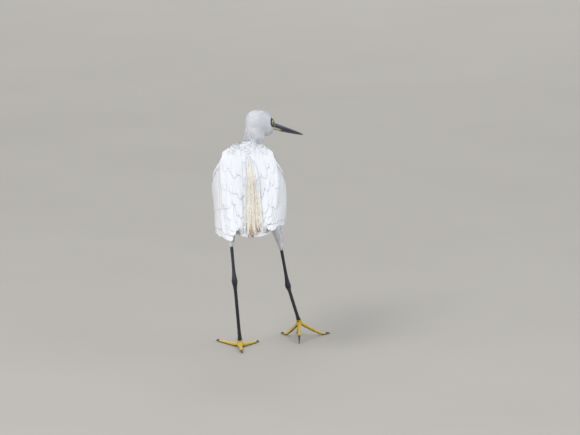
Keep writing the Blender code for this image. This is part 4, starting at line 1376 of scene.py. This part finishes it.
def bill_half(name, rows, upward, look):
    """Half of the bill, flat on the mouth line, with its ridge, groove and nostril above."""
    last = rows[-1][0]
    x = BILL_START + (last - BILL_START) * np.linspace(0, 1, BILL_ROWS) ** 0.95
    size = sections(rows)(np.maximum(x, BILL_BASE))
    half_width, height = size[:, 0, None], size[:, 1, None]
    angle = np.linspace(0, math.pi, BILL_ARC)[None]
    side = np.minimum(angle, math.pi - angle)
    swell = 1 + 0.035 * np.cos(2 * angle) * upward
    long = x[:, None]
    if upward > 0:
        groove = ease(29, 33, long) * (1 - ease(50, 66, long))
        dent = GROOVE_DEPTH * groove * np.exp(-(((side - GROOVE_ANGLE) / 0.17) ** 2))
        hole = np.exp(-(((long - NOSTRIL_PLACE) / NOSTRIL_LENGTH) ** 4)
                      - ((side - GROOVE_ANGLE) / 0.11) ** 2)
        dent = dent + NOSTRIL_DEPTH * hole
    else:
        dent = (0.3 * ease(44, 54, long) * np.exp(-(((side - 1.05) / 0.2) ** 2))
                * (1 - ease(84, 100, long)))
    y = (half_width * swell - dent) * np.cos(angle)
    z = (height - dent * 0.8) * np.sin(angle) ** 0.92
    across = np.linspace(-1, 1, BILL_FLAT + 2)[None, 1:-1]
    flat_y = half_width * across
    flat_z = 0.25 * height * (1 - across**2) * 0.3
    y = np.hstack([y, flat_y])
    z = np.hstack([z, flat_z])
    level = MOUTH_LEVEL + upward * MOUTH_GAP / 2
    rings = head_point(np.broadcast_to(long, y.shape), y, level + upward * z)
    return new_piece(name, loft_mesh(name, rings), look)


def bill_look():
    """Slate-black horn, lighter blue-grey along the ridge as a painted highlight that is stronger near the base,
    where the horn is also greyer, and pale at the lower base.
    """
    look = Look("bill_horn", Roughness=0.34, IOR=1.5, Coat_Weight=0.25, Coat_Roughness=0.25)
    x, y, z = look.head()
    stretched = look.node("ShaderNodeCombineXYZ")
    for socket, value, scale in zip(stretched.inputs, (x, y, z), (0.05, 0.55, 0.55)):
        look.put(socket, look.math("MULTIPLY", value, scale))
    streaks = look.noise(3.0, 5.0, stretched.outputs[0])
    # Painted highlight: the upper side is lighter blue-grey where light catches the ridge, more so near the
    # base, where the horn's own colour is also greyer.
    ridge = look.between(z, 0.6, 4.2)
    near_base = look.math("SUBTRACT", 1.0, look.between(x, 30.0, 62.0))
    grey = look.math("MULTIPLY", ridge,
                     look.math("ADD", 0.35, look.math("MULTIPLY", near_base, 0.65)))
    dark = look.mix(streaks, rgb(0.012, 0.014, 0.022), rgb(0.035, 0.042, 0.062))
    # The colour of the painted highlight along the ridge.
    top = look.mix(streaks, rgb(0.10, 0.135, 0.19), rgb(0.19, 0.24, 0.30))
    horn = look.mix(grey, dark, top)
    green = look.math("MULTIPLY", look.math("SUBTRACT", 1.0, look.between(x, 28.0, 38.0)), 0.45)
    horn = look.mix(green, horn, rgb(0.12, 0.17, 0.15))
    lower = look.math("SUBTRACT", 1.0, look.between(z, -3.6, -2.5))
    back = look.math("SUBTRACT", 1.0, look.between(look.math("ADD", x, look.math("MULTIPLY", streaks, 8.0)),
                                                   48.0, 57.0))
    pale = look.mix(streaks, rgb(0.50, 0.39, 0.29), rgb(0.62, 0.54, 0.44))
    look.colour(look.mix(look.math("MULTIPLY", lower, back), horn, pale))
    fine = look.noise(1400.0, 3.0)
    look.bump(look.math("ADD", streaks, look.math("MULTIPLY", fine, 0.4)), 0.35, 0.25)
    return look.material


EYE_AXIS = {1: unit((0.16, 1.0, -0.02)), -1: unit((0.16, -1.0, -0.02))}
PUPIL, IRIS = math.radians(19.0), math.radians(47.0)
LID_INNER, LID_OUTER = 3.9, 7.0
FACE_LIFT = 0.35


def eye_middle(side):
    return head_point(EYE_FORWARD, side * EYE_OUT, EYE_UP)


def eyeball(name, side, look):
    """The eyeball as rings round its own axis, with the clear bulge over the iris."""
    axis = EYE_AXIS[side] @ HEAD_AXES
    first = unit(np.cross(axis, [0.0, 0.0, 1.0]))
    second = np.cross(axis, first)
    turns = np.arange(64) * 2 * math.pi / 64
    rings = []
    for angle in np.concatenate([np.linspace(0.015, 1.1, 26), np.linspace(1.15, 3.12, 22)]):
        radius = EYE_RADIUS * (1 + 0.055 * float(1 - ease(0.3, 0.95, angle)))
        out = np.cos(turns)[:, None] * first + np.sin(turns)[:, None] * second
        rings.append(eye_middle(side) + radius * (math.cos(angle) * axis + math.sin(angle) * out))
    return new_piece(name, loft_mesh(name, rings), look)


def eye_look(name, side):
    """A dull yellow iris with a dark rim and fine rays, a black pupil and a wet gloss."""
    look = Look(name, Roughness=0.18, IOR=1.4, Coat_Weight=1.0, Coat_Roughness=0.02)
    axis = EYE_AXIS[side] @ HEAD_AXES
    ahead = look.along(axis, eye_middle(side))
    first = unit(np.cross(axis, [0.0, 0.0, 1.0]))
    across = look.along(first, eye_middle(side))
    over = look.along(np.cross(axis, first), eye_middle(side))
    out = look.math("SQRT", look.math("ADD", look.math("MULTIPLY", across, across),
                                      look.math("MULTIPLY", over, over)))
    angle = look.math("ARCTAN2", out, ahead)
    turn = look.math("ARCTAN2", over, across)
    ray = look.node("ShaderNodeCombineXYZ", None, X=look.math("MULTIPLY", turn, 5.0), Y=angle)
    rays = look.noise(3.0, 4.0, ray.outputs[0])
    iris = look.mix(rays, rgb(0.34, 0.26, 0.08), rgb(0.50, 0.42, 0.17))
    rim = look.between(angle, IRIS - 0.22, IRIS - 0.02)
    iris = look.mix(rim, iris, rgb(0.10, 0.075, 0.03))
    pupil = look.between(angle, PUPIL - 0.03, PUPIL + 0.03)
    iris = look.mix(pupil, rgb(0.004, 0.004, 0.005), iris)
    white = look.between(angle, IRIS - 0.02, IRIS + 0.05)
    look.colour(look.mix(white, iris, rgb(0.03, 0.028, 0.028)))
    return look.material


def face_edge(x, z):
    """How far inside the bare skin a place on the side of the head is, in millimetres."""
    upper = 5.6 - 0.10 * (x - 17) - z
    lower = z + 4.7 - 0.06 * (x - 12)
    inside = np.minimum(np.minimum(upper, lower), x - 11.5)
    ring = 6.3 - np.hypot(x - EYE_FORWARD, z - EYE_UP)
    return np.maximum(inside, ring)


def side_levels(ground, side, x, z):
    """How far out the head's skin lies at each place of its side."""
    start = head_point(x, side * 40.0, z).reshape(-1, 3)
    inwards = Vector(-side * HEAD_AXES[1])
    levels = np.full(len(start), 5.0)
    for i, place in enumerate(start):
        hit, _, _, distance = ground.tree.ray_cast(Vector(place), inwards)
        if hit is not None:
            levels[i] = 40.0 - distance
    return levels.reshape(np.shape(x))


def face_patch(name, side, ground, look):
    """The bare skin between bill and eye, just over the skin and dipping under the down."""
    long, share = np.meshgrid(np.linspace(9.5, 29.6, 80), np.linspace(0, 1, 56), indexing="ij")
    x = long
    z = (-5.9 + 0.06 * (x - 12)) * (1 - share) + (6.8 - 0.10 * (x - 17)) * share
    from_eye = np.hypot(x - EYE_FORWARD, z - EYE_UP)
    cast_x = EYE_FORWARD + (x - EYE_FORWARD) * np.maximum(1, 5.6 / np.maximum(from_eye, 0.01))
    cast_z = EYE_UP + (z - EYE_UP) * np.maximum(1, 5.6 / np.maximum(from_eye, 0.01))
    out = side_levels(ground, side, np.minimum(cast_x, 28.4), cast_z)
    for _ in range(4):
        padded = np.pad(out, 1, mode="edge")
        out = (padded[:-2, 1:-1] + padded[2:, 1:-1] + padded[1:-1, :-2] + padded[1:-1, 2:]) / 4
    out = out - 0.9 * ease(28.2, 29.6, x)
    edge = face_edge(x, z)
    lift = -1.0 + (1.0 + FACE_LIFT) * ease(-1.1, 0.5, edge)
    fold = 0.22 * np.exp(-(((z + 3.4 - 0.05 * (x - 12)) / 0.5) ** 2)) * ease(12, 15, x)
    sunk = 2.6 * (1 - ease(3.2, 5.4, from_eye))
    top = head_point(x, side * (out + lift + fold - sunk), z)
    bottom = head_point(x, side * (out + lift + fold - sunk - 0.8), z)
    flat = np.zeros(x.shape + (2,))
    flat[..., 0] = (x - 9.5) / 20.1
    flat[..., 1] = share
    mesh = sheets_mesh(name, top[None], bottom[None], {"face": flat[None]})
    return new_piece(name, mesh, look)


def torus_mesh(name, rings):
    """A closed band over rings that return to the first."""
    rings = np.asarray(rings, float)
    rows, sides = rings.shape[:2]
    i = np.arange(rows)[:, None]
    j = np.arange(sides)[None]
    ahead, beside = (i + 1) % rows, (j + 1) % sides
    quads = np.stack([i * sides + j, i * sides + beside, ahead * sides + beside,
                      ahead * sides + j], axis=-1)
    mesh = new_mesh(name, rings.reshape(-1, 3), quads.ravel(), np.full(rows * sides, 4))
    turn_outwards(mesh)
    return mesh


def lids(name, side, ground, look):
    """Both lids as one band round the eye, from the eyeball up over a rim and down to the face."""
    turns = np.arange(96) * 2 * math.pi / 96
    radii = np.linspace(LID_INNER, LID_OUTER, 20)
    turn, radius = np.meshgrid(turns, radii, indexing="ij")
    opening = 1 - 0.10 * np.sin(turn) ** 2 + 0.04 * np.cos(turn)
    shrink = 1 - (1 - opening) * (1 - ease(LID_INNER, 5.6, radius))
    x = EYE_FORWARD + radius * shrink * np.cos(turn)
    z = EYE_UP + radius * shrink * np.sin(turn)
    far_x = EYE_FORWARD + np.maximum(radius, 5.6) * np.cos(turn)
    far_z = EYE_UP + np.maximum(radius, 5.6) * np.sin(turn)
    face = side_levels(ground, side, far_x, far_z)
    from_eye = np.hypot(x - EYE_FORWARD, z - EYE_UP)
    ball = EYE_OUT + np.sqrt(np.maximum(EYE_RADIUS**2 - from_eye**2, 0.1)) + 0.22
    share = ease(LID_INNER, 5.5, radius)
    out = ball * (1 - share) + (face + FACE_LIFT + 0.1) * share
    out = out + 0.42 * np.exp(-(((radius - 4.45) / 0.32) ** 2)) + 0.16 * np.exp(-(((radius - 5.5) / 0.3) ** 2))
    out = out + 0.05 * np.sin(26 * turn) * np.exp(-(((radius - 4.7) / 0.5) ** 2))
    out = out - 0.75 * ease(6.0, LID_OUTER, radius)
    top = head_point(x, side * out, z)
    bottom = head_point(x, side * (out - 0.7), z)
    return new_piece(name, torus_mesh(name, np.concatenate([top, bottom[:, ::-1]], axis=1)), look)


def face_look():
    """Bare grey-green skin, darker round the eye and along the gape, with fine wrinkles."""
    look = Look("bare_face", Roughness=0.5, IOR=1.4)
    x, y, z = look.head()
    blotch = look.noise(260.0, 4.0)
    green = look.mix(blotch, rgb(0.085, 0.125, 0.105), rgb(0.19, 0.25, 0.21))
    dx = look.math("SUBTRACT", x, EYE_FORWARD)
    dz = look.math("SUBTRACT", z, EYE_UP)
    from_eye = look.math("SQRT", look.math("ADD", look.math("MULTIPLY", dx, dx),
                                           look.math("MULTIPLY", dz, dz)))
    ring = look.math("SUBTRACT", 1.0, look.between(from_eye, 5.4, 8.0))
    colour = look.mix(ring, green, rgb(0.022, 0.026, 0.034))
    gape = look.math("SUBTRACT", 1.0, look.between(z, -4.2, -1.6))
    colour = look.mix(look.math("MULTIPLY", gape, 0.85), colour, rgb(0.018, 0.020, 0.028))
    brow = look.math("MULTIPLY", look.between(z, 2.6, 5.2), look.between(x, 19.0, 25.0))
    colour = look.mix(look.math("MULTIPLY", brow, 0.7), colour, rgb(0.30, 0.36, 0.37))
    look.colour(colour)
    cells = look.node("ShaderNodeTexVoronoi", {"feature": "DISTANCE_TO_EDGE"}, Scale=1300.0,
                      Vector=look.place())
    look.bump(look.math("ADD", cells.outputs[0], look.noise(700.0, 4.0)), 0.5, 0.25)
    return look.material


# Legs and claws


LEG_VOXEL = 0.5
TOE_NAMES = ("inner", "middle", "outer", "hind")
SCUTE_LENGTH = {"shank": 2.6, "toe": 1.9}


def leg_skin(tag, look):
    """One scaled skin over the leg and foot, from inside the thigh feathers to the claws."""
    leg = leg_points(tag)
    down = unit(leg["ankle"] - leg["knee"])
    end = leg["knee"] * (1 - FEATHERS_END) + leg["ankle"] * FEATHERS_END
    shank = unit(leg["ball"] - leg["ankle"])
    joint = leg["ankle"] - down * 5.0
    base = leg["ball"] - shank * 6.1
    meshes = [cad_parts[name + tag].data for name in ("tibia_", "tarsus_", "foot_")]
    meshes.append(bridge_mesh(end - down * 9, end + down * 4, 2.4))
    meshes.append(bridge_mesh(joint - down * 3, joint + down * 3, 4.0))
    meshes.append(bridge_mesh(base - shank * 3, base + shank * 3, 3.6))
    mesh = remeshed("skin_leg_" + tag, meshes, LEG_VOXEL)
    points = smoothed(mesh, np.full(len(mesh.vertices), 0.45), 7)
    set_points(mesh, points)
    normals = normals_of(mesh)
    line = np.array([end, leg["ankle"], leg["ball"]])
    share, angle = line_share(points, line)
    lengths = np.linalg.norm(np.diff(line, axis=0), axis=1)
    along = share * lengths.sum()
    flat = points[:, :2] - leg["ball"][:2]
    away = np.linalg.norm(flat, axis=1)
    low = points[:, 2] < leg["ball"][2] + 4.5
    middles = np.array([node_middle("claw_" + toe + "_" + tag)[:2] - leg["ball"][:2]
                        for toe in TOE_NAMES])
    reach = flat @ unit(middles).T
    on_toe = low & (away > 4.5) & (reach.max(1) > 0)
    toe = reach.argmax(1)
    length = np.where(on_toe, reach.max(1), along)
    period = np.where(on_toe, SCUTE_LENGTH["toe"], SCUTE_LENGTH["shank"])
    up = np.where(on_toe, normals[:, 2], -normals @ np.array([0.0, 1.0, 0.0]))
    plate = ease(-0.1, 0.5, up)
    groove = np.abs(np.cos(math.pi * length / period)) ** 6
    dent = 0.22 * groove * plate
    joints = 0.18 * np.cos(2 * math.pi * length / 9.5) * on_toe * (1 - plate)
    points = points - normals * dent[:, None] + normals * joints[:, None]
    points[:, 2] = np.maximum(points[:, 2], 0.02)
    set_points(mesh, points)
    beyond = np.where(on_toe, away, along - lengths.sum() + 3.0)
    beyond = beyond + 0.9 * np.sin(2 * angle + 0.7)
    yellow = np.where(on_toe, 1.0, ease(-5.0, 0.5, beyond))
    # Mud and painted shade: dark brown where the yellow skin faces down and within a few millimetres of the
    # floor.
    mud_and_shade = ease(0.25, 0.9, -normals[:, 2]) * ease(0, 1, yellow)
    mud_and_shade = np.maximum(mud_and_shade, (1 - ease(0.6, 2.6, points[:, 2])) * yellow * 0.8)
    around = np.where(on_toe, toe * 0.25 + 0.1 * normals[:, 2], angle / (2 * math.pi))
    set_map(mesh, "scute", np.stack([length / period * 0.1, around], axis=-1))
    set_map(mesh, "tone", np.stack([mud_and_shade, yellow], axis=-1))
    return new_piece("skin_leg_" + tag, mesh, look)


def leg_look():
    """Scaly legs: blue-black above, yellow on the foot, and dark brown under the toes and near the floor, partly
    mud and partly painted shade.
    """
    look = Look("scaly_leg", Roughness=0.42, IOR=1.45)
    mud_and_shade, yellow = look.uv("tone")
    along, _ = look.uv("scute")
    wave = look.math("ABSOLUTE", look.math("SINE", look.math("MULTIPLY", along, 10 * math.pi)))
    plates = look.math("POWER", wave, 0.35)
    net = look.node("ShaderNodeTexVoronoi", {"feature": "DISTANCE_TO_EDGE"}, Scale=900.0,
                    Vector=look.place())
    cells = look.between(net.outputs[0], 0.0, 0.16)
    blotch = look.noise(120.0, 4.0)
    dark = look.mix(blotch, rgb(0.006, 0.007, 0.012), rgb(0.026, 0.032, 0.05))
    dark = look.mix(look.math("MULTIPLY", look.math("SUBTRACT", 1.0, cells), 0.25), dark,
                    rgb(0.06, 0.07, 0.09))
    fresh = look.mix(blotch, rgb(0.66, 0.43, 0.035), rgb(0.86, 0.66, 0.12))
    fresh = look.mix(look.math("MULTIPLY", look.math("SUBTRACT", 1.0, cells), 0.5), fresh,
                     rgb(0.34, 0.24, 0.04))
    border = look.math("ADD", yellow,
                       look.math("MULTIPLY", look.math("SUBTRACT", blotch, 0.5), 0.5))
    colour = look.mix(look.between(border, 0.35, 0.65), dark, fresh)
    # Mud and painted shade: the dark brown laid where the skin faces down and near the floor.
    mud_and_shade_colour = look.mix(look.noise(500.0, 4.0), rgb(0.035, 0.028, 0.022), rgb(0.11, 0.085, 0.06))
    mud_and_shade_share = look.between(look.math("ADD", mud_and_shade, look.math("MULTIPLY", look.math("SUBTRACT", blotch, 0.5), 0.6)),
                         0.3, 0.8)
    look.colour(look.mix(mud_and_shade_share, colour, mud_and_shade_colour))
    height = look.math("ADD", look.math("MULTIPLY", plates, 1.2), look.math("MULTIPLY", cells, 0.3))
    look.bump(height, 0.6, 0.3)
    return look.material


def claw(tag, toe, look):
    """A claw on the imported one's shape, smooth and with finer faces."""
    name = "claw_" + toe + "_" + tag
    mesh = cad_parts[name].data.copy()
    work = bmesh.new()
    work.from_mesh(mesh)
    bmesh.ops.remove_doubles(work, verts=work.verts, dist=0.00001)
    bmesh.ops.subdivide_edges(work, edges=work.edges, cuts=2, use_grid_fill=True, smooth=0.0)
    for _ in range(2):
        bmesh.ops.smooth_vert(work, verts=work.verts, factor=0.35, use_axis_x=True, use_axis_y=True,
                              use_axis_z=True)
    work.to_mesh(mesh)
    work.free()
    mesh.polygons.foreach_set("use_smooth", np.full(len(mesh.polygons), True))
    piece = new_piece("horn_" + name, mesh, look)
    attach(piece, "root")
    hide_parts(name)


def claw_look():
    """Dark horn with streaks, from near-black to dark brown."""
    look = Look("claw_horn_dark", Roughness=0.38, IOR=1.5)
    streaks = look.noise(420.0, 5.0, None, 0.8)
    look.colour(look.mix(streaks, rgb(0.010, 0.009, 0.008), rgb(0.075, 0.062, 0.05)))
    look.bump(look.noise(1500.0, 3.0), 0.4, 0.15)
    return look.material


# The floor, the light and the camera


CAMERA_RISE = math.radians(10.0)
CAMERA_AWAY = 8000.0
CAMERA_TARGET = (-60.0, 0.0, 198.77)
CAMERA_LENS = 331.0


def aimed(piece, place, target):
    piece.location = Vector(place) * MM
    piece.rotation_euler = Vector(np.asarray(target) - np.asarray(place)).to_track_quat("-Z", "Y").to_euler()
    bpy.context.scene.collection.objects.link(piece)


def add_camera():
    data = bpy.data.cameras.new("camera")
    data.sensor_width = 36.0
    data.lens = CAMERA_LENS
    data.clip_end = 100.0
    camera = bpy.data.objects.new("camera", data)
    target = SHIFT + np.array(CAMERA_TARGET)
    away = np.array([0.0, math.cos(CAMERA_RISE), math.sin(CAMERA_RISE)]) * CAMERA_AWAY
    aimed(camera, target + away, target)
    bpy.context.scene.camera = camera


def add_light(name, place, size, power, colour):
    data = bpy.data.lights.new(name, "AREA")
    data.shape = "DISK"
    data.size = size
    data.energy = power
    data.color = colour
    lamp = bpy.data.objects.new(name, data)
    aimed(lamp, place, SHIFT + np.array((0.0, 0.0, 200.0)))


def add_studio():
    world = bpy.data.worlds.new("studio")
    world.use_nodes = True
    world.node_tree.nodes["Background"].inputs["Color"].default_value = (0.90, 0.92, 0.95, 1)
    world.node_tree.nodes["Background"].inputs["Strength"].default_value = 0.74
    bpy.context.scene.world = world
    bpy.context.scene.view_settings.view_transform = "Standard"
    add_light("key", (1500, 1700, 2300), 1.3, 38, (1.0, 0.98, 0.95))
    add_light("fill", (-2200, 900, 1500), 2.2, 18, (0.93, 0.96, 1.0))
    add_light("front", (-300, -5200, 3600), 3.5, 88, (1.0, 0.99, 0.97))
    mesh = bpy.data.meshes.new("floor")
    work = bmesh.new()
    bmesh.ops.create_grid(work, x_segments=1, y_segments=1, size=30.0)
    work.to_mesh(mesh)
    work.free()
    look = Look("floor", Roughness=0.9)
    look.colour(look.mix(look.noise(3.0, 4.0), rgb(0.40, 0.38, 0.35), rgb(0.44, 0.42, 0.385)))
    new_piece("floor", mesh, look.material)


add_studio()
add_camera()


def add_feathers():
    """The skin with its coat, and the feathers from the lowest tier up."""
    down, tufts, vanes = (plumage_look("white_" + kind, kind) for kind in ("down", "tufts", "vanes"))
    skin = make_skin(down)
    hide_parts("torso", *SKIN_NODES)
    tail = tail_feathers(vanes)
    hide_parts("tail")
    wings = {}
    for tag in ("l", "r"):
        wings[tag] = wing_feathers(tag, vanes)
        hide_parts("wing_" + tag)
    coat = make_coat(skin, tufts)
    below = [skin.data, tail.data, *(wing.data for wing in wings.values())]
    shoulders = shoulder_feathers(below, vanes)
    below += [piece.data for piece in shoulders.values()]
    plumes, part, shares, lengths, tint = back_plumes(below, vanes)
    barbs = plume_barbs(part, shares, tint, tufts)
    for piece in (skin, tail, *wings.values(), *coat, *shoulders.values(), plumes, barbs):
        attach(piece, "root")
    return skin


def add_head(skin):
    """The bill, and on each side the eye with its lids and bare skin."""
    horn, bare = bill_look(), face_look()
    pieces = [(bill_half("horn_bill_upper", UPPER_BILL, 1, horn), "dark_bill", "bill_upper"),
              (bill_half("horn_bill_lower", LOWER_BILL, -1, horn), "dark_bill", "bill_lower")]
    ground = Ground([skin.data])
    for tag, side in (("l", 1), ("r", -1)):
        eye = eyeball("eyeball_" + tag, side, eye_look("eye_" + tag, side))
        pieces.append((eye, "yellow_eye", "eye_" + tag))
        pieces.append((face_patch("face_skin_" + tag, side, ground, bare), "dark_bill", None))
        pieces.append((lids("lids_" + tag, side, ground, bare), "dark_bill", None))
    for piece, slot, node in pieces:
        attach(piece, "root")
        if node:
            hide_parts(node)


def add_legs():
    scales, horn = leg_look(), claw_look()
    for tag in ("l", "r"):
        leg = leg_skin(tag, scales)
        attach(leg, "root")
        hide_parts("tibia_" + tag, "tarsus_" + tag, "foot_" + tag)
        for toe in TOE_NAMES:
            claw(tag, toe, horn)


add_head(add_feathers())
add_legs()

bpy.context.view_layer.update()
